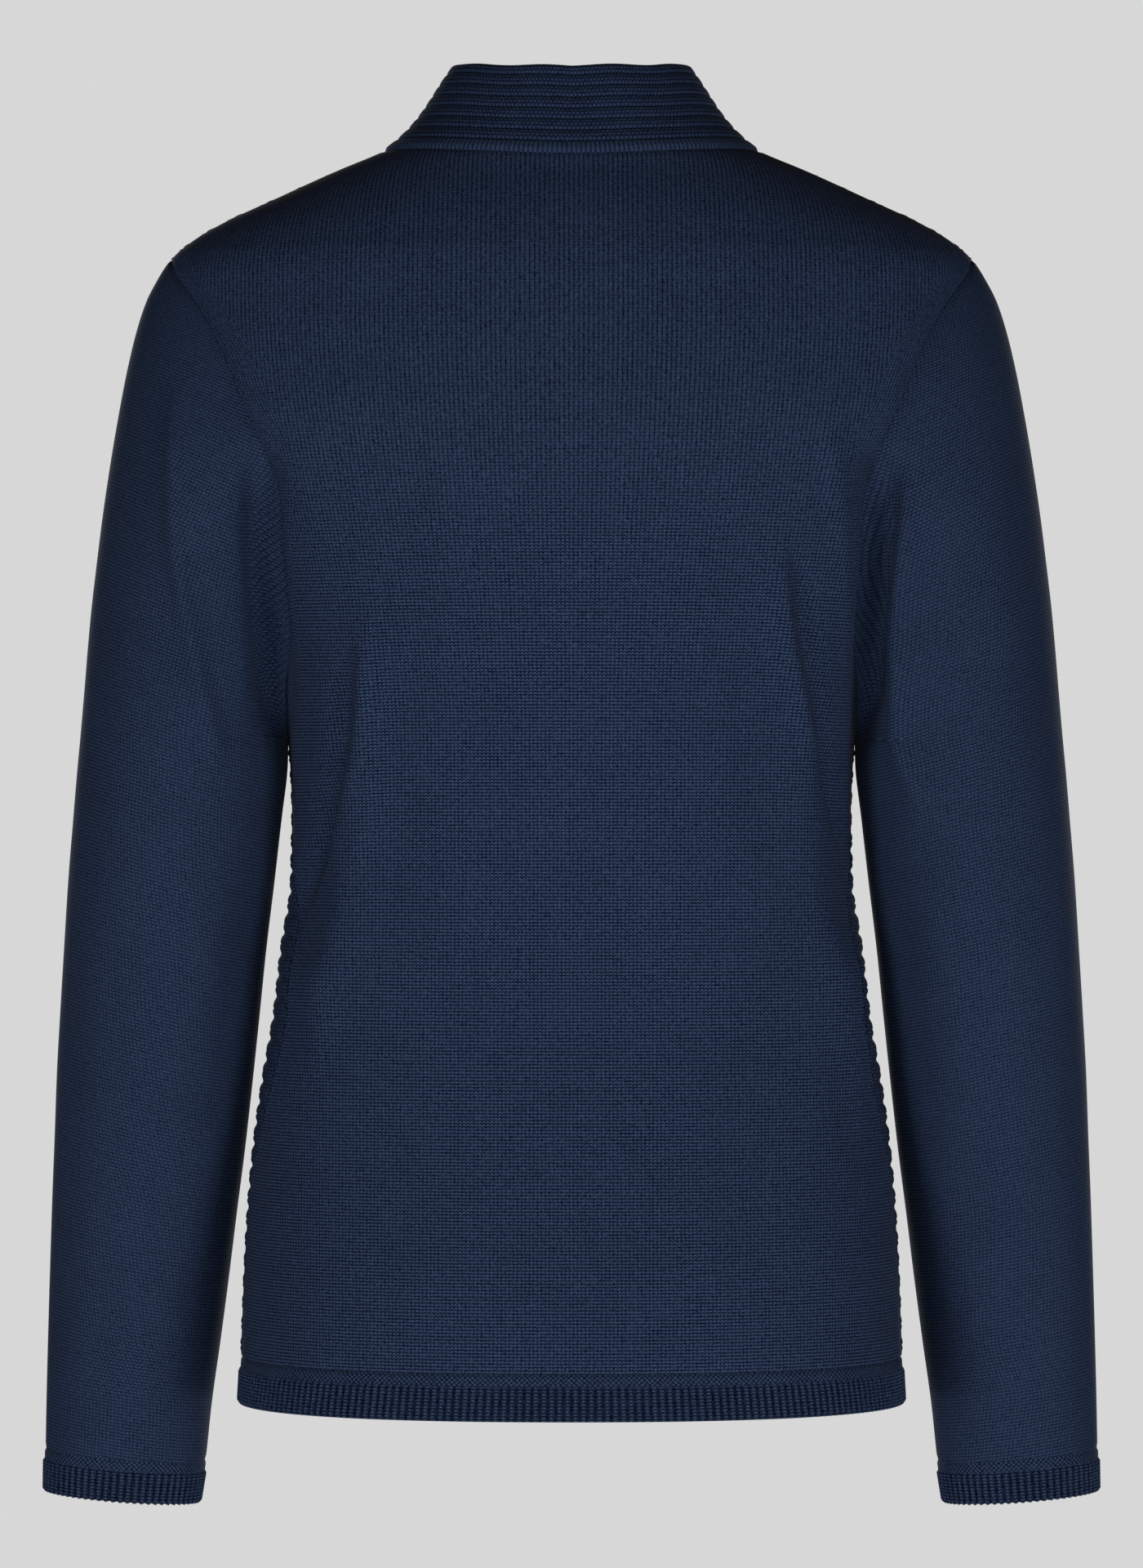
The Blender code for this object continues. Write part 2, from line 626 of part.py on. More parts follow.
def ridge_heights():
    """Heights down a front, one at each valley and each crest of its ridges."""
    fine = np.linspace(0, HEM_TOP_Z, 2000)
    turns = front_columns(fine, 1)[:, FRONT_COLUMNS // 2]
    steps = np.linalg.norm(np.diff(body(fine, turns), axis=0), axis=1)
    down = np.concatenate([[0], np.cumsum(steps)])
    count = int(round(down[-1] / FRONT_RIDGE_PITCH))
    return np.interp(np.linspace(0, down[-1], 2 * count + 1), down, fine)


def between_rows(values, heights):
    """Rows of a grid that is known at PANEL_Z, read at other heights on straight lines."""
    flat = values.reshape(len(PANEL_Z), -1)
    columns = [np.interp(-heights, -PANEL_Z, column) for column in flat.T]
    return np.array(columns).T.reshape(len(heights), *values.shape[1:])


def front_panel(name, side, collection, neck_normals):
    plain, plain_normals = front_grid(side, neck_normals)
    heights = ridge_heights()
    turns = front_columns(heights, side)
    z = np.broadcast_to(heights[:, None], turns.shape)
    normals = body_normals(z, turns)
    points = folded(body(z, turns), normals)
    for column in (0, -1):
        points[:, column] = between_rows(plain[:, column], heights)
        normals[:, column] = unit(between_rows(plain_normals[:, column], heights))
    for row in (0, -1):
        points[row] = plain[row]
        normals[row] = plain_normals[row]
    crest = np.arange(len(heights)) % 2
    points = points + (FRONT_RIDGE * crest)[:, None, None] * normals
    lining = plain - PANEL_WALL * plain_normals
    wall = Wall()
    outer = [wall.row(points[0, :1])] + wall.rows(points[1:])
    inner = [wall.row(lining[0, :1])] + wall.rows(lining[1:])
    wall.sheet(outer)
    wall.sheet(inner)
    close_edges(wall, outer, inner, -heights, -PANEL_Z)
    return wall.build(name, "knit", collection)


def sleeve_grid(side, heights):
    """Rows round a sleeve, its seam points and directions those of the armhole."""
    u = np.broadcast_to(np.linspace(-1, 1, SLEEVE_COLUMNS + 1), (len(heights), SLEEVE_COLUMNS + 1))
    z = np.broadcast_to(heights[:, None], u.shape)
    points = sleeve(z, u)
    normals = sleeve_normals(z, u)
    meeting = unit(normals[:, 0] + normals[:, -1])
    normals[:, 0] = meeting
    normals[:, -1] = meeting
    return mirrored(points, side), mirrored(normals, side)


def sleeve_piece(name, side, collection):
    points, normals = sleeve_grid(side, SLEEVE_Z)
    count = UNDERARM_ROW + 1
    for column, facing in ((0, 1), (-1, -1)):
        x, y = armhole(SLEEVE_Z[:count], facing)
        points[:count, column] = mirrored(stack(x, y, SLEEVE_Z[:count]), side)
        normals[:count, column] = mirrored(armhole_normals(SLEEVE_Z[:count], facing), side)
    points[0] = points[0, 0]
    normals[0] = normals[0, 0]
    points = folded(points, normals)
    armhole_loop = [(row, 0) for row in range(count)]
    armhole_loop += [(row, SLEEVE_COLUMNS) for row in range(count - 2, 0, -1)]
    cuff_loop = [(len(SLEEVE_Z) - 1, column) for column in range(SLEEVE_COLUMNS)]
    points = settle(points, normals, armhole_loop)
    points = settle(points, normals, cuff_loop)
    wall = Wall()
    shells = []
    for grid in (points, points - PANEL_WALL * normals):
        shell = [wall.row(grid[0, :1])] + wall.rows(grid[1:UNDERARM_ROW])
        rings = wall.rows(grid[UNDERARM_ROW:, :-1])
        shell += [ring + ring[:1] for ring in rings]
        wall.sheet(shell)
        shells.append(shell)
    outer, inner = shells
    keys = np.arange(count)
    for column in (0, -1):
        outside = [row[column] for row in outer[:count]]
        wall.ladder(outside, [row[column] for row in inner[:count]], keys, keys)
    wall.ladder(outer[-1], inner[-1])
    return wall.build(name, "knit", collection)


def collar_piece(collection, base, top, neck_normals):
    rises = np.linspace(0, 1, 2 * COLLAR_RIDGES + 1)

    def grid(rows):
        levels = np.broadcast_to(rows[:, None], (len(rows), len(base)))
        points = collar_wall(np.broadcast_to(base, (*levels.shape, 3)), top, levels)
        along = np.gradient(points, axis=1)
        up = np.gradient(points, rows, axis=0)
        normals = unit(np.cross(along, up))
        normals *= np.sign((normals * points * (1, 1, 0)).sum(axis=-1, keepdims=True))
        normals[0] = neck_normals
        return points, normals

    points, normals = grid(rises)
    points = folded(points, normals)
    points = settle(points, normals, edge_loop(len(rises) - 1, len(base) - 1, False))
    plain_rows = np.linspace(0, len(rises) - 1, COLLAR_INNER_ROWS + 1).astype(int)
    lining = (points - RIB_WALL * normals)[plain_rows]
    crest = np.arange(len(rises)) % 2
    points = points + (COLLAR_RIDGE * crest)[:, None, None] * normals
    wall = Wall()
    outer = wall.rows(points)
    inner = wall.rows(lining)
    wall.sheet(outer)
    wall.sheet(inner)
    wall.ladder(outer[0], inner[0])
    close_edges(wall, outer, inner, rises, rises[plain_rows])
    return wall.build("collar", "rib", collection)


def ribbed_band(name, edge, collection, heights, closed, surface, directions):
    """A hem or cuff: a plain band on top, ribs below it, and a plain inside.

    surface and directions take (height, place along the edge); edge holds the places of the corners
    that the band shares with its panel, and heights are the top, the band's lower edge and the bottom.
    """
    top_z, band_z, bottom_z = heights

    def rows_at(levels, places):
        z, spots = np.meshgrid(levels, places, indexing="ij")
        points = surface(z, spots)
        if not closed:
            across = unit(points[:, [1, -2]] - points[:, [0, -1]])
            points[:, [0, -1]] += SEAM_GAP / 2 * across
        return points, directions(z, spots)

    plain, plain_normals = rows_at([top_z, band_z + RIB, bottom_z], edge)
    plain[0] += SEAM_GAP / 2 * unit(plain[1] - plain[0])
    bottom = np.concatenate([[0], np.cumsum(np.linalg.norm(np.diff(plain[2], axis=0), axis=1))])
    ribs = int(round(bottom[-1] / (CUFF_RIB_PITCH if closed else HEM_RIB_PITCH)))
    places = np.interp(np.linspace(0, bottom[-1], 2 * ribs + 1), bottom, edge)
    ribbed, ribbed_normals = rows_at([band_z, bottom_z], places)
    crest = np.arange(len(places)) % 2
    ribbed += (RIB * crest)[:, None] * ribbed_normals
    lining = (plain - RIB_WALL * plain_normals)[[0, 2]]
    wall = Wall()
    shells = []
    for grid in (plain[:2], ribbed, lining):
        rows = wall.rows(grid[:, :-1] if closed else grid)
        shells.append([row + row[:1] if closed else row for row in rows])
    (crown, band), (rib_top, rib_bottom), (inner_top, inner_bottom) = shells
    edge_keys = (edge - edge[0]) / (edge[-1] - edge[0])
    rib_keys = (places - edge[0]) / (edge[-1] - edge[0])
    wall.ladder(crown, band)
    wall.ladder(band, rib_top, edge_keys, rib_keys)
    wall.ladder(rib_top, rib_bottom)
    wall.ladder(rib_bottom, inner_bottom, rib_keys, edge_keys)
    wall.ladder(inner_bottom, inner_top)
    wall.ladder(inner_top, crown)
    if not closed:
        for column in (0, -1):
            outside = [row[column] for row in (crown, band, rib_top, rib_bottom)]
            inside = [inner_top[column], inner_bottom[column]]
            wall.ladder(outside, inside)
    return wall.build(name, "rib", collection)


def hems(collection):
    heights = (HEM_TOP_Z, HEM_TOP_Z - HEM_BAND, HEM_Z)

    def back_turn(z, share):
        return seam_angle(z, 1) * (2 * share - 1)

    def left_turn(z, share):
        outer = seam_angle(z, -1)
        return outer + (front_angle(z, ZIP_EDGE) - outer) * share

    def right_turn(z, share):
        return -left_turn(z, share)

    plan = (
        ("hem_back", back_turn, BACK_COLUMNS),
        ("hem_front_left", left_turn, FRONT_COLUMNS),
        ("hem_front_right", right_turn, FRONT_COLUMNS),
    )
    for name, turn, columns in plan:

        def directions(z, share, turn=turn):
            return body_normals(z, turn(z, share))

        def surface(z, share, turn=turn):
            return folded(body(z, turn(z, share)), body_normals(z, turn(z, share)))

        edge = np.linspace(0, 1, columns + 1)
        ribbed_band(name, edge, collection, heights, False, surface, directions)


def cuff(name, side, collection):
    heights = (CUFF_TOP_Z, CUFF_TOP_Z - CUFF_BAND, CUFF_Z)

    def surface(z, u):
        normals = directions(z, u)
        return folded(mirrored(sleeve(z, u), side), normals)

    def directions(z, u):
        normals = sleeve_normals(z, u)
        meeting = unit(normals[:, 0] + normals[:, -1])
        normals[:, 0] = meeting
        normals[:, -1] = meeting
        return mirrored(normals, side)

    edge = np.linspace(-1, 1, SLEEVE_COLUMNS + 1)
    return ribbed_band(name, edge, collection, heights, True, surface, directions)


# The zip.


def zip_line(x, base, top):
    """Points up the front at a distance x from the middle, from hem to collar top, and directions out."""
    share = (abs(x) - ZIP_EDGE) / (base[1, 0] - ZIP_EDGE)
    rises = np.linspace(0, 0.97, 7)
    near = collar_wall(np.repeat(base[:1], 7, axis=0), top[0], rises)
    far = collar_wall(np.repeat(base[1:2], 7, axis=0), top[1], rises)
    above = near + (far - near) * share
    heights = np.concatenate([[HEM_Z + 0.0002, HEM_TOP_Z], SIDE_Z[::-1][1:], ZIP_Z])
    below = body(heights, front_angle(heights, abs(x)))
    points = np.concatenate([below, above])
    along = np.gradient(points, axis=0)
    normals = unit(stack(0, -along[:, 2], along[:, 1]))
    return mirrored(points, np.sign(x)), normals


def strip(name, lines, depths, colour, collection):
    """A flat strip up the front through lines of points, between two depths below the cloth's face."""
    wall = Wall()
    faces = []
    for depth in depths:
        faces.append(wall.rows([points - depth * normals for points, normals in lines]))
    for rows in faces:
        wall.sheet(rows)
    front, back = faces
    wall.ladder(front[0], back[0])
    wall.ladder(front[-1], back[-1])
    for end in (0, -1):
        wall.ladder([row[end] for row in front], [row[end] for row in back])
    return wall.build(name, colour, collection)


def box(name, low, high, location, rotation, collection):
    """A metal block between two corners, given in a frame at location."""
    bpy.ops.mesh.primitive_cube_add(size=1)
    item = bpy.context.active_object
    item.name = name
    item.data.materials.append(finish(name, "metal"))
    low = Vector(low)
    high = Vector(high)
    for corner in item.data.vertices:
        corner.co = [low[k] + (high[k] - low[k]) * (corner.co[k] + 0.5) for k in range(3)]
    item.location = location
    item.rotation_euler = rotation
    for owner in item.users_collection:
        owner.objects.unlink(item)
    collection.objects.link(item)
    return item


def cut(item, tool, operation):
    tool.hide_render = True
    tool.display_type = "WIRE"
    modifier = item.modifiers.new(tool.name, "BOOLEAN")
    modifier.operation = operation
    modifier.object = tool


def slider(collection, cutters, location, rotation):
    """Two plates over the chain, joined by a post above its end, and a bail that holds the tab.

    In the slider's own frame X runs across, Y into the cloth and Z up the zip.
    """
    width = SLIDER_HALF_WIDTH
    length = SLIDER_HALF_LENGTH
    front = CHAIN_OUTER_DEPTH - SEAM_GAP
    back = CHAIN_INNER_DEPTH + SEAM_GAP
    face = front - PLATE
    rear = back + PLATE
    frame = (location, rotation)
    item = box("zip_slider", (-width, face, -length), (width, front, length), *frame, collection)
    tools = (
        ("slider_back_plate", (-width, back, -length), (width, rear, length), "UNION"),
        (
            "slider_post",
            (-POST_HALF_WIDTH, face + PLATE / 2, length - POST_LENGTH),
            (POST_HALF_WIDTH, back + PLATE / 2, length - PLATE / 4),
            "UNION",
        ),
        (
            "slider_bail",
            (-BAIL_HALF_WIDTH, face - BAIL_TOP, PIVOT_ALONG - BAIL_INSIDE - BAIL_LEG),
            (BAIL_HALF_WIDTH, face + PLATE / 2, PIVOT_ALONG + BAIL_INSIDE + BAIL_LEG),
            "UNION",
        ),
        (
            "slider_bail_opening",
            (-2 * BAIL_HALF_WIDTH, face - BAIL_TOP + BAIL_LEG, PIVOT_ALONG - BAIL_INSIDE),
            (2 * BAIL_HALF_WIDTH, face, PIVOT_ALONG + BAIL_INSIDE),
            "DIFFERENCE",
        ),
    )
    for name, low, high, operation in tools:
        cut(item, box(name, low, high, *frame, cutters), operation)
    return item


def pull_tab(collection, location, rotation):
    """A flat tab that hangs from the bail: its bar lies on the pivot, and a window below the bar."""
    outline = bpy.data.curves.new("pull_tab", "CURVE")
    outline.dimensions = "2D"
    outline.fill_mode = "BOTH"
    outline.extrude = TAB_HALF_THICKNESS
    turns = np.radians(np.linspace(180, 360, 13))
    tip = [
        (TAB_HALF_WIDTH * np.cos(turn), -TAB_LENGTH + TAB_HALF_WIDTH * (1 + np.sin(turn)))
        for turn in turns
    ]
    frame = [(TAB_HALF_WIDTH, TAB_HALF_THICKNESS), (-TAB_HALF_WIDTH, TAB_HALF_THICKNESS)]
    inside = TAB_WINDOW_HALF_WIDTH
    window = [
        (-inside, -TAB_HALF_THICKNESS),
        (inside, -TAB_HALF_THICKNESS),
        (inside, -TAB_WINDOW_END),
        (-inside, -TAB_WINDOW_END),
    ]
    for corners in (tip + frame, window):
        spline = outline.splines.new("POLY")
        spline.points.add(len(corners) - 1)
        for point, corner in zip(spline.points, corners):
            point.co = (*corner, 0, 1)
        spline.use_cyclic_u = True
    item = place("pull_tab", outline, "metal", collection)
    item.location = location
    item.rotation_euler = (rotation[0] + np.radians(90), 0, 0)
    return item


def zip_pieces(collection, cutters, base, top):
    across = (TAPE_NEAR, (TAPE_NEAR + TAPE_FAR) / 2, TAPE_FAR)
    depths = (TAPE_OUTER_DEPTH, TAPE_INNER_DEPTH)
    for name, side in (("zip_tape_left", 1), ("zip_tape_right", -1)):
        lines = [zip_line(side * x, base, top) for x in across]
        strip(name, lines, depths, "tape", collection)

    # The slider sits on the collar's slope; upward runs up that slope and out leaves it.
    middle, directions = zip_line(CHAIN_HALF_WIDTH, base, top)
    slope = (middle[-1] - middle[-7]) * (0, 1, 1)
    lean = np.arctan2(slope[1], slope[2])
    upward = np.array([0, np.sin(lean), np.cos(lean)])
    out = np.array([0, -np.cos(lean), np.sin(lean)])
    centre = (middle[-7] + slope * SLIDER_AT) * (0, 1, 1)

    chain = [zip_line(x, base, top) for x in (-CHAIN_HALF_WIDTH, CHAIN_HALF_WIDTH)]
    for points, _ in chain:
        points[0, 2] = HEM_Z + BOX_LENGTH + SEAM_GAP
        points[-1] += upward * ((centre - points[-1]) @ upward + CHAIN_PAST_SLIDER)
    strip("zip_chain", chain, (CHAIN_OUTER_DEPTH, CHAIN_INNER_DEPTH), "metal", collection)
    low = (-CHAIN_HALF_WIDTH, CHAIN_OUTER_DEPTH - BOX_RISE, SEAM_GAP)
    high = (CHAIN_HALF_WIDTH, CHAIN_INNER_DEPTH + BOX_RISE, BOX_LENGTH)
    foot = middle[0] * (0, 1, 0) + (0, 0, HEM_Z)
    box("zip_box", low, high, foot, (0, 0, 0), collection)
    rotation = (-lean, 0, 0)
    slider(collection, cutters, centre, rotation)
    face = CHAIN_OUTER_DEPTH - SEAM_GAP - PLATE
    pull_tab(collection, centre + upward * PIVOT_ALONG + out * (PIVOT_HEIGHT - face), rotation)


def main():
    for item in list(bpy.data.objects):
        bpy.data.objects.remove(item)
    collection = bpy.data.collections.new("zip_up_cardigan")
    cutters = bpy.data.collections.new("cutters")
    bpy.context.scene.collection.children.link(collection)
    bpy.context.scene.collection.children.link(cutters)
    base, top, neck_normals = neckline()
    back_panel(collection, neck_normals)
    front_panel("front_left", 1, collection, neck_normals)
    front_panel("front_right", -1, collection, neck_normals)
    sleeve_piece("sleeve_left", 1, collection)
    sleeve_piece("sleeve_right", -1, collection)
    collar_piece(collection, base, top, neck_normals)
    hems(collection)
    cuff("cuff_left", 1, collection)
    cuff("cuff_right", -1, collection)
    zip_pieces(collection, cutters, base, top)


main()
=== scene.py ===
"""The looks of the zip-up cardigan: each knitted piece as a thin shell with its creases, seams and knit.

Lengths are metres, angles degrees.  +Z is up and the front faces -Y, so the wearer's left is at +X.
The photograph shows the back, from a camera far behind it.
"""

import bpy
import numpy as np
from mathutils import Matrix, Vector


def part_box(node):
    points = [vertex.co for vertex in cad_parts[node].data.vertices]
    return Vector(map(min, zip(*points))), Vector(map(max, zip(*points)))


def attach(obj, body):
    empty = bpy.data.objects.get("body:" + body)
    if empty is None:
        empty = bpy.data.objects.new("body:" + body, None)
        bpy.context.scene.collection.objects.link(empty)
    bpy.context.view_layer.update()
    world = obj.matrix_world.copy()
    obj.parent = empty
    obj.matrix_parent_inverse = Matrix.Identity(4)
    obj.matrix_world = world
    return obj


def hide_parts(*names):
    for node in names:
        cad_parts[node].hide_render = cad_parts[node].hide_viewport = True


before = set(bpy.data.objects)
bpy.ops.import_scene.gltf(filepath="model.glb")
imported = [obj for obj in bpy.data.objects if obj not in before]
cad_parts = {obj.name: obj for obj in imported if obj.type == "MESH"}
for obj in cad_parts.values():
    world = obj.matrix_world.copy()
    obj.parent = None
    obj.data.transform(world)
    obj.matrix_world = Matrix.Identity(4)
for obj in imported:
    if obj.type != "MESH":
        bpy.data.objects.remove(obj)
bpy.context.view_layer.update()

# The garment's driving sizes, those of its solids.
PANEL_WALL = 0.0020
RIB_WALL = 0.0024
HEM_Z = -0.6265
HEM_TOP_Z = -0.6035
HEM_BAND = 0.0055
UNDERARM_Z = -0.2940
TIP_Z = -0.0537
NECK_SIDE = 0.0943
NECK_BACK_DROP = 0.006
NECK_FRONT_DROP = 0.075
NECK_FRONT_POWER = 1.3
CUFF_Z = -0.6785
CUFF_TOP_Z = -0.6565
CUFF_BAND = 0.005
ARMHOLE_MIDDLE_Z = (TIP_Z + UNDERARM_Z) / 2
ARMHOLE_HALF_HEIGHT = (TIP_Z - UNDERARM_Z) / 2
ARMHOLE_BACK = 0.075
ARMHOLE_FRONT = 0.070
ARMHOLE_STRAIGHTER = 0.27
ARMHOLE_CURVED_ABOVE = 0.3
ARMHOLE_STRAIGHT_BELOW = -0.5
COLLAR_TOP_SIDE = 0.0585
COLLAR_TOP_BACK = 0.055
COLLAR_TOP_FRONT = 0.074
COLLAR_TOP_POWER = 2.3
COLLAR_WAVE = 0.0005
ZIP_EDGE = 0.0045
ZIP_FAR = 0.0254
TAPE_NEAR = 0.0016
TAPE_FAR = 0.015
TAPE_DEPTHS = (0.0030, 0.0036)

# The knit.
WALE = 0.00195
WIDE_WALE = 0.00240
COURSE = 0.00162
FASHIONED_WALES = 9
RIDGE_PITCH = 0.0106
RIDGE = 0.0012
RIDGE_VALLEY = 0.86
RIDGE_LINE = 0.0005
RIDGE_LINE_AT = 0.56
RIDGE_LINE_WIDTH = 0.06
COLLAR_BANDS = 8
COLLAR_RELIEF = 0.0010
HEM_RIB_PITCH = 0.0039
CUFF_RIB_PITCH = 0.00365
RIB = 0.0013
RIB_START = 0.0016
CROSSED_HEIGHT = 0.0055
CROSSED_RELIEF = 0.0003
EDGE_ROUND = 0.0020
EDGE_DEPTH = 0.0012
TUCK = 0.0008
TUCK_WIDTH = 0.0026
SEAM_TUCK = 0.0006
SEAM_TUCK_WIDTH = 0.0040
WELT = 0.0006
WELT_FROM_SEAM = 0.0032
WELT_WIDTH = 0.0011
# Up the back the columns widen, and come to stand out more than the rows.
WIDEN_Z = (-0.30, -0.08)
UPRIGHT_Z = (-0.24, -0.07)

# Teeth of the zip.
TOOTH_PITCH = 0.0022
TOOTH_HALF_HEIGHT = 0.00046
TOOTH_HEAD_HALF_HEIGHT = 0.00066
TOOTH_ROOT = 0.0025
TOOTH_NECK = 0.0004
TOOTH_HEAD = -0.0002
TOOTH_TIP = -0.0007
TOOTH_DEPTHS = (0.0017, 0.0037)
TOOTH_ROUNDING = 0.0004
TOOTH_FACE_SHARE = 0.86
TAPE_WEAVE = 0.0016

# Counts of cells.
BACK_COLUMNS = 150
FRONT_COLUMNS = 72
SLEEVE_COLUMNS = 124
SHOULDER_ROWS = 36
ARMHOLE_ROWS = 130
ROW = 0.0024
COLLAR_ROWS = 12 * COLLAR_BANDS
CELLS_PER_RIB = 8
BAND_ROWS = 34
ZIP_LINE_POINTS = 260
ZIP_LINE_COLLAR_POINTS = 30


def table(names, *rows):
    """A table with named columns, its rows in order of rising height or angle."""
    return {name: np.array(column) for name, column in zip(names.split(), zip(*rows))}


# Level sections of the body: half width, reach to the back and to the front, how square the section
# is, and the angle of the side seam from centre back.  That seam lies further round the waist here than
# in the solids.
BODY = table(
    "z side back front power seam",
    (-0.6265, 0.1667, 0.1220, 0.1180, 2.30, 90),
    (-0.6045, 0.1655, 0.1200, 0.1170, 2.30, 89),
    (-0.5629, 0.1638, 0.1140, 0.1150, 2.30, 88),
    (-0.5301, 0.1620, 0.1060, 0.1130, 2.30, 86),
    (-0.4973, 0.1591, 0.0985, 0.1115, 2.30, 82),
    (-0.4645, 0.1546, 0.0925, 0.1105, 2.35, 78),
    (-0.4317, 0.1490, 0.0890, 0.1105, 2.35, 76),
    (-0.3989, 0.1453, 0.0890, 0.1115, 2.35, 77),
    (-0.3661, 0.1404, 0.0930, 0.1150, 2.35, 83),
    (-0.3333, 0.1398, 0.0985, 0.1195, 2.35, 89),
    (-0.3087, 0.1408, 0.1030, 0.1225, 2.40, 90),
    (-0.2940, 0.1420, 0.1050, 0.1240, 2.40, 90),
    (-0.2685, 0.1455, 0.1085, 0.1245, 2.40, 90),
    (-0.2303, 0.1555, 0.1120, 0.1225, 2.40, 90),
    (-0.2070, 0.1625, 0.1130, 0.1205, 2.40, 90),
    (-0.1823, 0.1700, 0.1135, 0.1175, 2.40, 90),
    (-0.1572, 0.1800, 0.1130, 0.1135, 2.40, 90),
    (-0.1328, 0.1905, 0.1110, 0.1075, 2.40, 90),
    (-0.1103, 0.1975, 0.1080, 0.0995, 2.30, 90),
    (-0.0905, 0.2005, 0.1050, 0.0905, 2.25, 90),
    (-0.0749, 0.2040, 0.1020, 0.0820, 2.15, 90),
    (-0.0642, 0.2050, 0.1000, 0.0750, 2.10, 90),
    (-0.0537, 0.2005, 0.0975, 0.0675, 2.05, 90),
    (-0.0460, 0.1920, 0.0945, 0.0610, 2.00, 90),
    (-0.0376, 0.1785, 0.0910, 0.0540, 2.00, 90),
    (-0.0233, 0.1478, 0.0840, 0.0400, 2.05, 90),
    (-0.0097, 0.1175, 0.0765, 0.0245, 2.15, 90),
    (-0.0030, 0.1010, 0.0740, 0.0135, 2.20, 90),
    (0.0000, 0.0943, 0.0730, 0.0001, 2.20, 90),
)

# Level sections of a sleeve: its outer edge, its middle, how far it reaches back and forward from
# there, how far the middle lies behind the armhole's, how much the section tips up outwards, and how
# steeply its rows of stitches rise outwards.
SLEEVE = table(
    "z outer middle back front bend tilt rise",
    (-0.6785, 0.2674, 0.2283, 0.0345, 0.0340, -0.0385, 0.080, 0.08),
    (-0.6565, 0.2669, 0.2263, 0.0365, 0.0360, -0.0365, 0.080, 0.08),
    (-0.6285, 0.2662, 0.2244, 0.0390, 0.0385, -0.0345, 0.080, 0.08),
    (-0.5957, 0.2651, 0.2215, 0.0425, 0.0420, -0.0310, 0.080, 0.10),
    (-0.5629, 0.2638, 0.2186, 0.0465, 0.0455, -0.0265, 0.080, 0.11),
    (-0.5301, 0.2624, 0.2158, 0.0500, 0.0490, -0.0220, 0.080, 0.12),
    (-0.4973, 0.2608, 0.2128, 0.0535, 0.0520, -0.0175, 0.078, 0.14),
    (-0.4645, 0.2593, 0.2101, 0.0565, 0.0550, -0.0130, 0.070, 0.16),
    (-0.4317, 0.2572, 0.2072, 0.0590, 0.0570, -0.0090, 0.055, 0.18),
    (-0.3989, 0.2550, 0.2043, 0.0610, 0.0590, -0.0050, 0.035, 0.20),
    (-0.3661, 0.2528, 0.2011, 0.0630, 0.0605, -0.0020, 0.015, 0.23),
    (-0.3333, 0.2501, 0.1978, 0.0645, 0.0620, -0.0005, 0.000, 0.26),
    (-0.3087, 0.2480, 0.1953, 0.0655, 0.0630, 0.0000, 0.000, 0.28),
    (-0.2940, 0.2466, 0.1944, 0.0660, 0.0635, 0.0000, 0.000, 0.30),
    (-0.2685, 0.2444, 0.1930, 0.0670, 0.0640, 0.0000, 0.000, 0.32),
    (-0.2511, 0.2430, 0.1920, 0.0675, 0.0645, 0.0000, 0.000, 0.33),
    (-0.2303, 0.2411, 0.1900, 0.0680, 0.0650, 0.0000, 0.000, 0.35),
    (-0.2070, 0.2384, 0.1870, 0.0690, 0.0655, 0.0000, 0.000, 0.37),
    (-0.1823, 0.2353, 0.1820, 0.0700, 0.0660, 0.0000, 0.000, 0.38),
    (-0.1572, 0.2316, 0.1760, 0.0700, 0.0660, 0.0000, 0.000, 0.39),
    (-0.1328, 0.2275, 0.1720, 0.0690, 0.0650, 0.0000, 0.000, 0.40),
    (-0.1103, 0.2232, 0.1730, 0.0645, 0.0600, 0.0000, 0.000, 0.40),
    (-0.0905, 0.2185, 0.1790, 0.0550, 0.0510, 0.0000, 0.000, 0.40),
    (-0.0749, 0.2134, 0.1870, 0.0430, 0.0400, 0.0000, 0.000, 0.40),
    (-0.0642, 0.2079, 0.1940, 0.0310, 0.0290, 0.0000, 0.000, 0.40),
    (-0.0564, 0.2030, 0.1992, 0.0160, 0.0150, 0.0000, 0.000, 0.40),
    (-0.0537, 0.2006, 0.2004, 0.0010, 0.0010, 0.0000, 0.000, 0.40),
)

# The collar's top edge and how far its wall curves in below it, by angle from centre back.
COLLAR = table(
    "angle top hollow",
    (0, 0.0388, 0.0020),
    (40, 0.0406, 0.0024),
    (60, 0.0425, 0.0030),
    (75, 0.0432, 0.0036),
    (90, 0.0415, 0.0038),
    (105, 0.0355, 0.0032),
    (120, 0.0235, 0.0024),
    (135, 0.0075, 0.0016),
    (150, -0.0080, 0.0010),
    (165, -0.0205, 0.0006),
    (180, -0.0260, 0.0004),
)

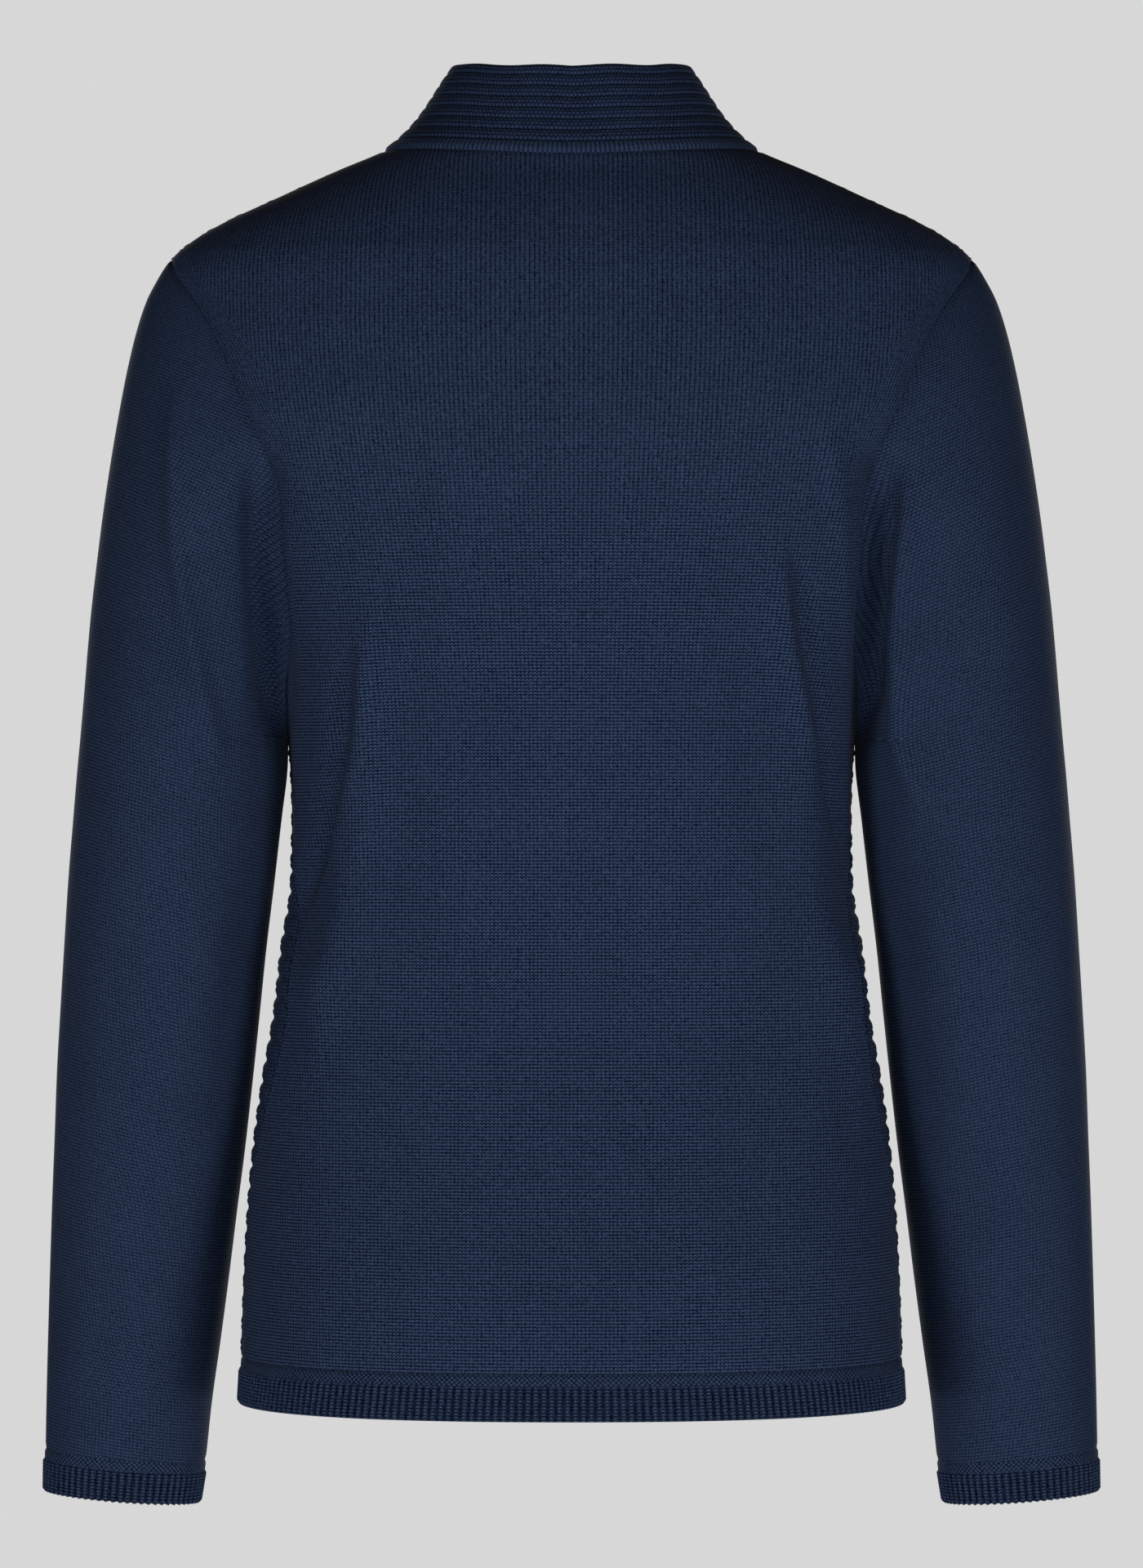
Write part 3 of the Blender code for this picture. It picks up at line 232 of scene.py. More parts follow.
# Folds and creases, each a soft ridge (depth above zero) or trough along a line seen from the back or
# from the front: which way its cloth faces (1 back, -1 front), depth, half width, then points (x, z).
# The first twelve are those of the solids.
FOLDS = (
    (1, 0.0050, 0.015, ((0.102, -0.213), (0.106, -0.313), (0.118, -0.389), (0.130, -0.465))),
    (1, -0.0045, 0.010, ((0.122, -0.300), (0.124, -0.373), (0.137, -0.420))),
    (1, 0.0050, 0.015, ((-0.102, -0.189), (-0.116, -0.301), (-0.134, -0.405), (-0.150, -0.493))),
    (1, -0.0045, 0.010, ((-0.122, -0.285), (-0.130, -0.353), (-0.141, -0.415))),
    (1, 0.0035, 0.016, ((0.195, -0.113), (0.193, -0.207), (0.183, -0.266), (0.171, -0.325))),
    (1, 0.0035, 0.014, ((-0.164, -0.153), (-0.156, -0.225), (-0.159, -0.295), (-0.174, -0.345))),
    (1, -0.0050, 0.009, ((0.152, -0.140), (0.151, -0.190), (0.147, -0.240), (0.145, -0.300))),
    (1, -0.0050, 0.009, ((-0.152, -0.140), (-0.151, -0.190), (-0.147, -0.240), (-0.145, -0.300))),
    (-1, -0.0045, 0.010, ((0.154, -0.150), (0.151, -0.200), (0.147, -0.250), (0.145, -0.300))),
    (-1, -0.0045, 0.010, ((-0.154, -0.150), (-0.151, -0.200), (-0.147, -0.250), (-0.145, -0.300))),
    (-1, 0.0040, 0.016, ((0.112, -0.190), (0.110, -0.290), (0.116, -0.380), (0.128, -0.470))),
    (-1, 0.0040, 0.016, ((-0.110, -0.200), (-0.108, -0.300), (-0.118, -0.400), (-0.132, -0.480))),
    (1, 0.0022, 0.006,
     ((-0.119, -0.122), (-0.129, -0.158), (-0.133, -0.194), (-0.136, -0.245), (-0.137, -0.300))),
    (1, 0.0026, 0.005, ((0.149, -0.150), (0.1445, -0.190), (0.1405, -0.245), (0.137, -0.307))),
    (1, 0.0022, 0.005, ((-0.147, -0.160), (-0.1425, -0.200), (-0.139, -0.250), (-0.136, -0.307))),
    (1, -0.0070, 0.008, ((0.156, -0.145), (0.153, -0.190), (0.149, -0.240), (0.146, -0.306))),
    (1, -0.0070, 0.008, ((-0.155, -0.150), (-0.1525, -0.195), (-0.1485, -0.245), (-0.146, -0.306))),
    (1, 0.0036, 0.0045,
     ((0.196, -0.112), (0.194, -0.206), (0.184, -0.266), (0.176, -0.305), (0.172, -0.325))),
    (1, 0.0036, 0.0045,
     ((-0.167, -0.152), (-0.162, -0.206), (-0.160, -0.246), (-0.163, -0.295), (-0.175, -0.345))),
    (1, 0.0034, 0.0055,
     ((0.099, -0.230), (0.104, -0.298), (0.1185, -0.344), (0.132, -0.3755), (0.142, -0.396))),
    (1, -0.0080, 0.0070,
     ((0.106, -0.240), (0.1125, -0.302), (0.1265, -0.350), (0.1385, -0.380), (0.146, -0.405))),
    (1, 0.0034, 0.0055,
     ((-0.101, -0.185), (-0.1065, -0.246), (-0.1165, -0.293), (-0.1295, -0.3395), (-0.140, -0.390))),
    (1, -0.0080, 0.0070,
     ((-0.109, -0.190), (-0.1145, -0.250), (-0.1250, -0.300), (-0.1380, -0.348), (-0.147, -0.400))),
    (1, 0.0008, 0.004, ((0.099, -0.215), (0.101, -0.270), (0.097, -0.315), (0.108, -0.375))),
    (1, 0.0008, 0.004, ((-0.100, -0.195), (-0.109, -0.262), (-0.117, -0.318), (-0.128, -0.375))),
    (1, 0.0012, 0.006, ((0.122, -0.395), (0.124, -0.430), (0.128, -0.470))),
    (1, 0.0010, 0.005, ((-0.127, -0.375), (-0.135, -0.413), (-0.145, -0.470))),
    (1, -0.0012, 0.007, ((-0.129, -0.440), (-0.135, -0.470), (-0.140, -0.510))),
    (1, 0.0010, 0.008, ((0.172, -0.340), (0.180, -0.400), (0.196, -0.470))),
    (1, 0.0010, 0.008, ((-0.176, -0.350), (-0.190, -0.420), (-0.200, -0.500))),
    (1, -0.0012, 0.009, ((0.156, -0.355), (0.164, -0.420), (0.178, -0.500))),
    (1, -0.0012, 0.009, ((-0.160, -0.350), (-0.168, -0.430), (-0.180, -0.520))),
    (1, 0.0008, 0.010, ((0.236, -0.250), (0.240, -0.350), (0.246, -0.450))),
    (1, 0.0008, 0.010, ((-0.232, -0.280), (-0.242, -0.380), (-0.248, -0.480))),
    (1, 0.0006, 0.010, ((0.050, -0.120), (0.060, -0.200), (0.060, -0.300))),
    (1, 0.0006, 0.010, ((-0.070, -0.110), (-0.064, -0.190), (-0.070, -0.280))),
    (1, 0.0006, 0.012, ((0.020, -0.430), (0.060, -0.445), (0.110, -0.440))),
    (1, 0.0006, 0.012, ((-0.010, -0.470), (-0.060, -0.480), (-0.115, -0.470))),
    (1, 0.0008, 0.005, ((0.232, -0.560), (0.205, -0.575), (0.190, -0.600))),
    (1, 0.0008, 0.005, ((-0.235, -0.550), (-0.208, -0.570), (-0.192, -0.600))),
    (-1, 0.0010, 0.006, ((0.148, -0.170), (0.139, -0.220), (0.134, -0.280))),
    (-1, 0.0010, 0.006, ((-0.147, -0.165), (-0.138, -0.225), (-0.133, -0.290))),
    (-1, 0.0010, 0.009, ((0.185, -0.150), (0.188, -0.240), (0.178, -0.330))),
    (-1, 0.0010, 0.009, ((-0.187, -0.140), (-0.190, -0.230), (-0.180, -0.320))),
    (-1, 0.0014, 0.007, ((0.172, -0.360), (0.190, -0.385), (0.215, -0.395))),
    (-1, 0.0014, 0.007, ((-0.170, -0.370), (-0.188, -0.395), (-0.212, -0.402))),
    (-1, -0.0014, 0.007, ((0.172, -0.385), (0.192, -0.412), (0.218, -0.420))),
    (-1, -0.0014, 0.007, ((-0.171, -0.398), (-0.190, -0.422), (-0.216, -0.430))),
    (-1, 0.0010, 0.008, ((0.110, -0.440), (0.080, -0.455), (0.045, -0.450))),
    (-1, 0.0010, 0.008, ((-0.112, -0.450), (-0.080, -0.462), (-0.040, -0.455))),
)

# The knit's colour lies between shade (0) and lit (1), on average at MEAN_SHARE.
MEAN_SHARE = 0.36
COLOURS = {
    "lit": (0.0480, 0.0790, 0.1560),
    "shade": (0.0000, 0.0020, 0.0150),
    "tape": (0.0090, 0.0130, 0.0240),
    "metal": (0.060, 0.064, 0.072),
    "floor": (0.70, 0.70, 0.70),
    "backdrop": (0.68, 0.68, 0.68),
}

# The room.  Every lamp is square and faces the garment's middle: its name, place, width and power.
CAMERA_PLACE = (0.0, 3.5, -0.317)
CAMERA_LENS = 160.0
FLOOR_Z = -1.3
FLOOR_REACH = 5
GARMENT_MIDDLE = (0, 0, -0.33)
LAMPS = (
    ("back_right", (-1.7, 2.2, -0.74), 0.8, 24),
    ("back_left", (1.7, 2.2, -0.70), 0.8, 24),
    ("back_middle", (-0.2, 2.6, -0.80), 0.6, 12.5),
    ("front_left", (0.9, -3.2, 0.2), 1.4, 50),
    ("front_right", (-1.2, -3.0, -0.3), 1.4, 36),
)


def read(rows, name, at):
    """A column of a table at any height or angle, on a smooth curve that never swings past its rows."""
    knots = rows["z"] if "z" in rows else rows["angle"]
    values = rows[name]
    rates = np.diff(values) / np.diff(knots)
    turns = rates[:-1] * rates[1:]
    sums = np.where(turns > 0, rates[:-1] + rates[1:], 1)
    inner = np.where(turns > 0, 2 * turns / sums, 0)
    slopes = np.concatenate([rates[:1], inner, rates[-1:]])
    at = np.clip(at, knots[0], knots[-1])
    low = np.clip(np.searchsorted(knots, at) - 1, 0, len(knots) - 2)
    span = knots[low + 1] - knots[low]
    t = (at - knots[low]) / span
    return (
        values[low] * (1 + 2 * t) * (1 - t) ** 2
        + slopes[low] * span * t * (1 - t) ** 2
        + values[low + 1] * t**2 * (3 - 2 * t)
        + slopes[low + 1] * span * t**2 * (t - 1)
    )


def stack(x, y, z):
    return np.stack(np.broadcast_arrays(x, y, z), axis=-1)


def unit(vectors):
    return vectors / np.maximum(np.linalg.norm(vectors, axis=-1, keepdims=True), 1e-12)


def ease(t):
    t = np.clip(t, 0, 1)
    return t * t * (3 - 2 * t)


# The surfaces, those of the solids but for a softer dip at the back of the neck and straighter seams.


def body(z, angle):
    """The outer face of the body at a height and an angle from centre back, towards +X if above 0."""
    sine = np.sin(np.radians(angle))
    cosine = np.cos(np.radians(angle))
    side = read(BODY, "side", z)
    power = read(BODY, "power", z)
    depth = np.where(cosine > 0, read(BODY, "back", z), read(BODY, "front", z))
    radius = (abs(sine / side) ** power + abs(cosine / depth) ** power) ** (-1 / power)
    drop = NECK_BACK_DROP * np.clip(1 - z / TIP_Z, 0, 1) ** 2
    return stack(radius * sine, radius * cosine, z - drop * np.maximum(cosine, 0) ** 2)


def side_at(z, y):
    """How far out the body's section reaches at a distance y behind its middle."""
    depth = np.where(y > 0, read(BODY, "back", z), read(BODY, "front", z))
    power = read(BODY, "power", z)
    return read(BODY, "side", z) * (1 - abs(y / depth) ** power) ** (1 / power)


def armhole(z, facing):
    """x and y of the left armhole seam at a height, on its back edge (facing 1) or front edge (-1).

    The lower part of the back edge is straighter than half an ellipse, and lies nearer the sleeve.
    """
    level = np.clip((z - ARMHOLE_MIDDLE_Z) / ARMHOLE_HALF_HEIGHT, -1, 1)
    depth = ARMHOLE_FRONT
    if facing > 0:
        span = ARMHOLE_CURVED_ABOVE - ARMHOLE_STRAIGHT_BELOW
        depth = ARMHOLE_BACK * (1 - ARMHOLE_STRAIGHTER * ease((ARMHOLE_CURVED_ABOVE - level) / span))
    y = facing * depth * np.sqrt(1 - level**2)
    return side_at(z, y), y


def seam_angle(z, facing):
    """The angle of a panel's outer edge: shoulder seam, then armhole, then side seam."""
    x, y = armhole(z, facing)
    angle = np.where(z > TIP_Z, 90, np.degrees(np.arctan2(x, y)))
    return np.where(z < UNDERARM_Z, read(BODY, "seam", z), angle)


def neck_half_width(z):
    """How far from the middle the front neckline lies at a height."""
    fraction = np.clip(-z / NECK_FRONT_DROP, 0, 1) ** (1 / NECK_FRONT_POWER)
    return np.maximum(NECK_SIDE * np.sqrt(1 - fraction**2), ZIP_EDGE)


def neck_height(x):
    """The height of the front neckline at a distance x from the middle."""
    return -NECK_FRONT_DROP * (1 - (x / NECK_SIDE) ** 2) ** (NECK_FRONT_POWER / 2)


def front_angle(z, x):
    """The angle at which the front lies at a height and a distance from the middle."""
    depth = read(BODY, "front", z)
    power = read(BODY, "power", z)
    share = np.clip(1 - (x / read(BODY, "side", z)) ** power, 0, 1)
    return np.degrees(np.arctan2(x, -depth * share ** (1 / power)))


def sleeve(z, u):
    """The outer face of the left sleeve: u is -1 at the back seam or inside line, 0 outside, 1 in front."""
    facing = np.where(u < 0, 1, -1)
    middle = read(SLEEVE, "middle", z)
    half = read(SLEEVE, "outer", z) - middle
    depth = np.where(u < 0, read(SLEEVE, "back", z), read(SLEEVE, "front", z))
    back_x, back_y = armhole(z, 1)
    front_x, front_y = armhole(z, -1)
    seam_x = np.where(z < UNDERARM_Z, middle - half, np.where(u < 0, back_x, front_x))
    seam_y = np.where(z < UNDERARM_Z, 0, np.where(u < 0, back_y, -front_y))
    start = np.where(z < UNDERARM_Z, np.pi, np.arctan2(seam_y / depth, (seam_x - middle) / half))
    turn = start * abs(u)
    hold = ease((abs(u) - 0.55) / 0.45)
    x = middle + half * np.cos(turn) + hold * (seam_x - middle - half * np.cos(start))
    y = depth * np.sin(turn) + hold * (seam_y - depth * np.sin(start))
    height = z + read(SLEEVE, "tilt", z) * (x - middle)
    return stack(x, facing * y + read(SLEEVE, "bend", z), height)


def ring_top(angle):
    """The collar's top edge at an angle from centre back."""
    sine = np.sin(np.radians(angle))
    cosine = np.cos(np.radians(angle))
    depth = np.where(cosine > 0, COLLAR_TOP_BACK, COLLAR_TOP_FRONT)
    power = COLLAR_TOP_POWER
    radius = (abs(sine / COLLAR_TOP_SIDE) ** power + abs(cosine / depth) ** power) ** (-1 / power)
    return stack(radius * sine, radius * cosine, read(COLLAR, "top", abs(angle)))


def ring_top_front(x):
    """The collar's top edge at a distance x from the middle, in front."""
    share = 1 - abs(x / COLLAR_TOP_SIDE) ** COLLAR_TOP_POWER
    y = -COLLAR_TOP_FRONT * share ** (1 / COLLAR_TOP_POWER)
    return ring_top(np.degrees(np.arctan2(x, y)))


def collar_wall(base, top, rise):
    """Points between the neckline and the collar's top edge; rise is 0 at the neckline, 1 on top.

    The wall curves in most a third of the way up, where 6.75 times the curve's value is 1.
    """
    angle = abs(np.degrees(np.arctan2(base[..., 0], base[..., 1])))
    hollow = read(COLLAR, "hollow", angle) * 6.75 * rise * (1 - rise) ** 2
    outward = unit(base * (1, 1, 0))
    return base + (top - base) * rise[..., None] - outward * hollow[..., None]


def normals_of(surface, first, second, first_range, second_range):
    """The directions out of a surface given by two values, from small steps along both."""
    step_one = (first_range[1] - first_range[0]) * 1e-4
    step_two = (second_range[1] - second_range[0]) * 1e-4
    one = surface(np.clip(first + step_one, *first_range), second)
    one = one - surface(np.clip(first - step_one, *first_range), second)
    two = surface(first, np.clip(second + step_two, *second_range))
    two = two - surface(first, np.clip(second - step_two, *second_range))
    return unit(np.cross(one, two))


def body_normals(z, angle):
    normals = normals_of(body, z, angle, (HEM_Z, 0), (-360, 360))
    shoulder = (abs(abs(angle) - 90) < 1e-6) & (z >= TIP_Z)
    return unit(normals * stack(1, np.where(shoulder, 0, 1), 1))


def sleeve_normals(z, u):
    return normals_of(sleeve, z, u, (CUFF_Z, TIP_Z), (-1, 1))


def armhole_normals(z, facing):
    """The directions shared by the body and the left sleeve along their seam: down at the underarm."""
    x, y = armhole(z, facing)
    depth = ARMHOLE_BACK if facing > 0 else ARMHOLE_FRONT
    down = stack(0, 0.3 * y / depth, -1 + 0 * z)
    share = ease((-0.215 - z) / (-0.215 - UNDERARM_Z))[..., None]
    return unit(body_normals(z, np.degrees(np.arctan2(x, y))) * (1 - share) + down * share)


def mirrored(vectors, side):
    return vectors * (side, 1, 1)


# The folds.


def distances(points, path):
    """How far points (x, z) lie from a bent line, and how far along it, from 0 to 1."""
    path = np.array(path)
    lengths = np.linalg.norm(np.diff(path, axis=0), axis=1)
    starts = np.concatenate([[0], np.cumsum(lengths)])
    best = np.full(points.shape[:-1], np.inf)
    along = np.zeros(points.shape[:-1])
    for index, length in enumerate(lengths):
        step = (path[index + 1] - path[index]) / length
        reach = np.clip((points - path[index]) @ step, 0, length)
        gap = np.linalg.norm(points - path[index] - reach[..., None] * step, axis=-1)
        along = np.where(gap < best, (starts[index] + reach) / starts[-1], along)
        best = np.minimum(best, gap)
    return best, along


def folded(points, normals):
    """The points moved out or in by the folds."""
    total = np.zeros(points.shape[:-1])
    for facing, depth, width, path in FOLDS:
        gap, along = distances(points[..., [0, 2]], path)
        fade = ease(4 * along) * ease(4 * (1 - along))
        turned = ease((facing * normals[..., 1] - 0.05) / 0.4)
        total += depth * np.exp(-((gap / width) ** 2)) * fade * turned
    return points + total[..., None] * normals


# Rows and edges of the grids.

NECK_END_Z = neck_height(ZIP_EDGE)
NECK_ROWS = neck_height(np.array([ZIP_EDGE, 0.007, 0.010, 0.014, 0.018, 0.023, 0.029]))
TURNS = np.radians(np.linspace(0, 180, ARMHOLE_ROWS + 1))
ARMHOLE_Z = np.concatenate([ARMHOLE_MIDDLE_Z + ARMHOLE_HALF_HEIGHT * np.cos(TURNS), NECK_ROWS])
ARMHOLE_Z = np.sort(ARMHOLE_Z)[::-1]


def levels(top, bottom):
    """Heights from just below top to bottom, a row apart."""
    return np.linspace(top, bottom, int(round((top - bottom) / ROW)) + 1)[1:]


PANEL_Z = np.concatenate(
    [np.linspace(0, TIP_Z, SHOULDER_ROWS)[:-1], ARMHOLE_Z, levels(UNDERARM_Z, HEM_TOP_Z)]
)
SLEEVE_Z = np.concatenate([ARMHOLE_Z, levels(UNDERARM_Z, CUFF_TOP_Z)])
UNDERARM_ROW = len(ARMHOLE_Z) - 1


def shares(count, fine=6, cell=0.0022):
    """Places from 0 to 1 across a panel, closer together at both seams."""
    edge = cell * np.arange(fine)
    inner = np.linspace(fine * cell, 1 - fine * cell, count + 1 - 2 * fine)
    return np.concatenate([edge, inner, 1 - edge[::-1]])


def lengths(points, axis):
    """How far each point lies along its row (axis 1) or column (axis 0)."""
    steps = np.linalg.norm(np.diff(points, axis=axis), axis=2)
    return np.concatenate([np.zeros_like(np.take(steps, [0], axis)), np.cumsum(steps, axis)], axis)


def tuck(distance, depth=TUCK, width=TUCK_WIDTH):
    """How far cloth dips beside a seam or edge at a distance."""
    return depth * (1 - ease(distance / width)) ** 0.8


def from_ends(values, axis):
    """Distances from both ends of rows or columns: the start's, the end's."""
    return values, np.take(values, [-1], axis) - values


# Shells.


def picks(count, step, keep=()):
    """Every step-th place of a row, with its last one and those in keep."""
    return np.unique(np.concatenate([np.arange(0, count, step), [count - 1], keep]).astype(int))


def quads(ids):
    grid = np.stack([ids[:-1, :-1], ids[:-1, 1:], ids[1:, 1:], ids[1:, :-1]], axis=-1)
    return grid.reshape(-1, 4).tolist()


def closing(outside, inside, places):
    """Faces between an outer edge and the inner edge under it, whose points lie at places along it."""
    faces = []
    for start, end, near, far in zip(places, places[1:], inside, inside[1:]):
        faces.append(list(outside[start : end + 1][::-1]) + [near, far])
    return faces


def shell(name, points, under, facts, step=3, pointed=False, joined_from=None):
    """A closed wall of cloth.

    points is the grid of its outer face and under the same grid on its inner face, of which every
    step-th row and column is built.  facts are values kept at each point, such as the number of the
    stitch.  A pointed grid has one point for its top row.  From the row joined_from on, the first and
    the last column are one.
    """
    rows, columns = points.shape[:2]
    keep = [] if joined_from is None else [joined_from]
    down, across = picks(rows, step, keep), picks(columns, step)
    cell = np.ix_(down, across)
    outer = np.arange(rows * columns).reshape(rows, columns)
    inner = rows * columns + np.arange(len(down) * len(across)).reshape(len(down), len(across))
    faces = quads(outer) + [face[::-1] for face in quads(inner)]
    sides = rows if joined_from is None else joined_from + 1
    kept = down < sides
    if not pointed:
        faces += closing(outer[0], inner[0], across)
    faces += [face[::-1] for face in closing(outer[-1], inner[-1], across)]
    faces += closing(outer[:sides, -1], inner[kept, -1], down[kept])
    faces += [face[::-1] for face in closing(outer[:sides, 0], inner[kept, 0], down[kept])]

    same = np.arange(inner.max() + 1)
    if pointed:
        same[outer[0]] = outer[0, 0]
        same[inner[0]] = inner[0, 0]
    if joined_from is not None:
        same[outer[joined_from:, -1]] = outer[joined_from:, 0]
        same[inner[~kept, -1]] = inner[~kept, 0]
        same[inner[down == joined_from, -1]] = inner[down == joined_from, 0]
    faces = [[c for k, c in enumerate(face) if same[c] != same[face[k - 1]]] for face in faces]
    faces = [face for face in faces if len(face) > 2]
    middle = points[rows // 2 : rows // 2 + 2, columns // 3 : columns // 3 + 2]
    facing = np.cross(middle[0, 1] - middle[0, 0], middle[1, 0] - middle[0, 0])
    if facing @ (points - under)[rows // 2, columns // 3] < 0:
        faces = [face[::-1] for face in faces]

    used, numbers = np.unique(same, return_inverse=True)
    places = np.concatenate([points.reshape(-1, 3), under[cell].reshape(-1, 3)])[used]
    mesh = bpy.data.meshes.new(name)
    mesh.from_pydata(places.tolist(), [], [[int(numbers[c]) for c in face] for face in faces])
    corners = np.concatenate([np.array(face) for face in faces])
    for fact, values in facts.items():
        flat = np.broadcast_to(values, (rows, columns))
        flat = np.concatenate([flat.ravel(), flat[cell].ravel()])
        layer = mesh.attributes.new(fact, "FLOAT", "CORNER")
        layer.data.foreach_set("value", flat[corners].astype(np.float32))
    mesh.shade_smooth()
    mesh.set_sharp_from_angle(angle=np.radians(55))
    return place(name, mesh)


def place(name, mesh):
    item = bpy.data.objects.new(name, mesh)
    bpy.context.scene.collection.objects.link(item)
    return item


# Materials.


class Field:
    """A number that varies over a surface; arithmetic with it adds nodes to its material."""

    def __init__(self, tree, socket):
        self.tree = tree
        self.socket = socket

    def calc(self, operation, *others):
        node = self.tree.nodes.new("ShaderNodeMath")
        node.operation = operation
        for number, value in enumerate((self, *others)):
            if isinstance(value, Field):
                self.tree.links.new(value.socket, node.inputs[number])
            else:
                node.inputs[number].default_value = value
        return Field(self.tree, node.outputs[0])

    def __add__(self, other):
        return self.calc("ADD", other)

    def __sub__(self, other):
        return self.calc("SUBTRACT", other)

    def __mul__(self, other):
        return self.calc("MULTIPLY", other)

    def fract(self):
        return self.calc("FRACT")

    def above(self, limit):
        return self.calc("GREATER_THAN", limit)

    def wave(self):
        """0 at whole numbers and 1 half way between them."""
        return (self.fract() * np.pi).calc("SINE")

    def towards(self, other, share):
        return self + (other - self) * share


class Finish:
    """A material whose nodes are put together from fields."""

    def __init__(self, name, roughness, metallic=0.0, sheen=0.0, specular=0.2):
        self.material = bpy.data.materials.new(name)
        self.material.use_nodes = True
        self.tree = self.material.node_tree
        self.surface = self.tree.nodes["Principled BSDF"]
        for socket, value in (
            ("Roughness", roughness),
            ("Metallic", metallic),
            ("Sheen Weight", sheen),
            ("Sheen Roughness", 0.45),
            ("Specular IOR Level", specular),
        ):
            self.surface.inputs[socket].default_value = value

    def fact(self, name):
        node = self.tree.nodes.new("ShaderNodeAttribute")
        node.attribute_name = name
        return Field(self.tree, node.outputs["Fac"])

    def noise(self, scale, detail=2.0):
        spot = self.tree.nodes.new("ShaderNodeTexCoord")
        node = self.tree.nodes.new("ShaderNodeTexNoise")
        node.inputs["Scale"].default_value = scale
        node.inputs["Detail"].default_value = detail
        self.tree.links.new(spot.outputs["Object"], node.inputs["Vector"])
        return Field(self.tree, node.outputs["Fac"])

    def colour(self, share, shade, lit):
        """Colours the surface from shade (where share is 0) to lit (where it is 1)."""
        node = self.tree.nodes.new("ShaderNodeMix")
        node.data_type = "RGBA"
        node.clamp_factor = True
        node.inputs[6].default_value = (*shade, 1)
        node.inputs[7].default_value = (*lit, 1)
        self.tree.links.new(share.socket, node.inputs[0])
        self.tree.links.new(node.outputs[2], self.surface.inputs["Base Color"])

    def bump(self, height, distance):
        node = self.tree.nodes.new("ShaderNodeBump")
        node.inputs["Strength"].default_value = 1.0
        node.inputs["Distance"].default_value = distance
        self.tree.links.new(height.socket, node.inputs["Height"])
        self.tree.links.new(node.outputs[0], self.surface.inputs["Normal"])


def stitches(wale, course, upright=0.0):
    """The height of plain knit: rows of small arches, low where two rows or two columns meet.

    Where upright is 1 the cloth is stretched across, and its columns stand out more than its rows.
    """
    across = (wale.fract() * 2 - 1).calc("ABSOLUTE").calc("POWER", 2.5)
    low = (course + across * 0.42).wave().calc("POWER", 1.6) * -1 + 1
    rows = low * (upright * 0.65 - 1) + 1
    return rows * (across * (upright * -0.15 - 0.78) + 1) * (upright * -0.36 + 1)


def purl_rows(wale, row):
    """The height of ridged knit: rows of round bumps, each row set half a bump on from the last."""
    shift = row.calc("FLOOR") * 0.5
    return (wale + shift).wave() * row.wave()


def yarn(finish, height, contrast, shade=0.0, bump=0.0):
    """Colours knit by its height, with the yarn's uneven fibres, and raises it by bump at most."""
    fibres = finish.noise(900.0, 1.0)
    patches = finish.noise(40.0)
    share = (height - MEAN_SHARE) * contrast + (fibres - 0.5) * contrast
    share = share + (patches - 0.5) * 0.10 + (MEAN_SHARE - shade)
    finish.colour(share, COLOURS["shade"], COLOURS["lit"])
    if bump > 0:
        finish.bump(height, bump)
    return finish.material


def plain_knit(name, contrast):
    """Plain knit, whose stitches follow the armhole in the band beside it."""
    finish = Finish(name, 0.92, sheen=0.02, specular=0.08)
    beyond = finish.fact("rim").above(FASHIONED_WALES)
    wale = finish.fact("rim").towards(finish.fact("wale"), beyond)
    course = finish.fact("run").towards(finish.fact("course"), beyond)
    return yarn(finish, stitches(wale, course, finish.fact("upright")), contrast)


def ridged_knit():
    """Rows of round bumps, or upright loops where the cloth's fact of that name is 1."""
    finish = Finish("ridged_knit", 0.92, sheen=0.02, specular=0.08)
    wale = finish.fact("wale")
    bumps = purl_rows(wale, finish.fact("course"))
    loops = wale.wave() * 0.9 + 0.05
    height = bumps.towards(loops, finish.fact("loops"))
    return yarn(finish, height, 0.55, shade=0.07, bump=0.00030)


def rib_knit():
    """The hem's and cuffs' knit: plain stitches, a row of crossed ones, and painted shade between ribs."""
    finish = Finish("rib_knit", 0.92, sheen=0.02, specular=0.08)
    wale = finish.fact("wale")
    course = finish.fact("course")
    legs = stitches(wale, course)
    one = (wale * 1.5 + course * 0.7).wave()
    other = (wale * 1.5 - course * 0.7).wave()
    crossed = one * other
    height = legs.towards(crossed, finish.fact("crossed"))
    # The relief fact darkens the colour in the valleys between ribs: painted shade.
    return yarn(finish, height * (finish.fact("relief") * 0.8 + 0.2), 0.85, bump=0.00032)


def woven_tape():
    finish = Finish("woven_tape", 0.8, sheen=0.1)
    height = (finish.fact("wale") * 2).wave() * (finish.fact("course") * 2).wave()
    finish.colour(height, [part * 0.4 for part in COLOURS["tape"]], COLOURS["tape"])
    finish.bump(height, 0.0002)
    return finish.material


def dark_metal():
    finish = Finish("dark_metal", 0.38, metallic=1.0, specular=0.5)
    grain = finish.noise(900.0, 3.0)
    wear = finish.noise(160.0, 3.0)
    finish.colour(wear * 0.8 + grain * 0.2, COLOURS["metal"], [1.7 * c for c in COLOURS["metal"]])
    finish.bump(grain, 0.00004)
    return finish.material


def stage_finish():
    finish = Finish("stage", 0.9)
    finish.colour(finish.noise(3.0), COLOURS["floor"], [part * 0.97 for part in COLOURS["floor"]])
    return finish.material


# Pieces of cloth.


def wear_as(item, node, material, flat):
    """Puts a cloth piece in place of its solid."""
    item.data.materials.append(material)
    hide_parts(node)
    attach(item, "garment")


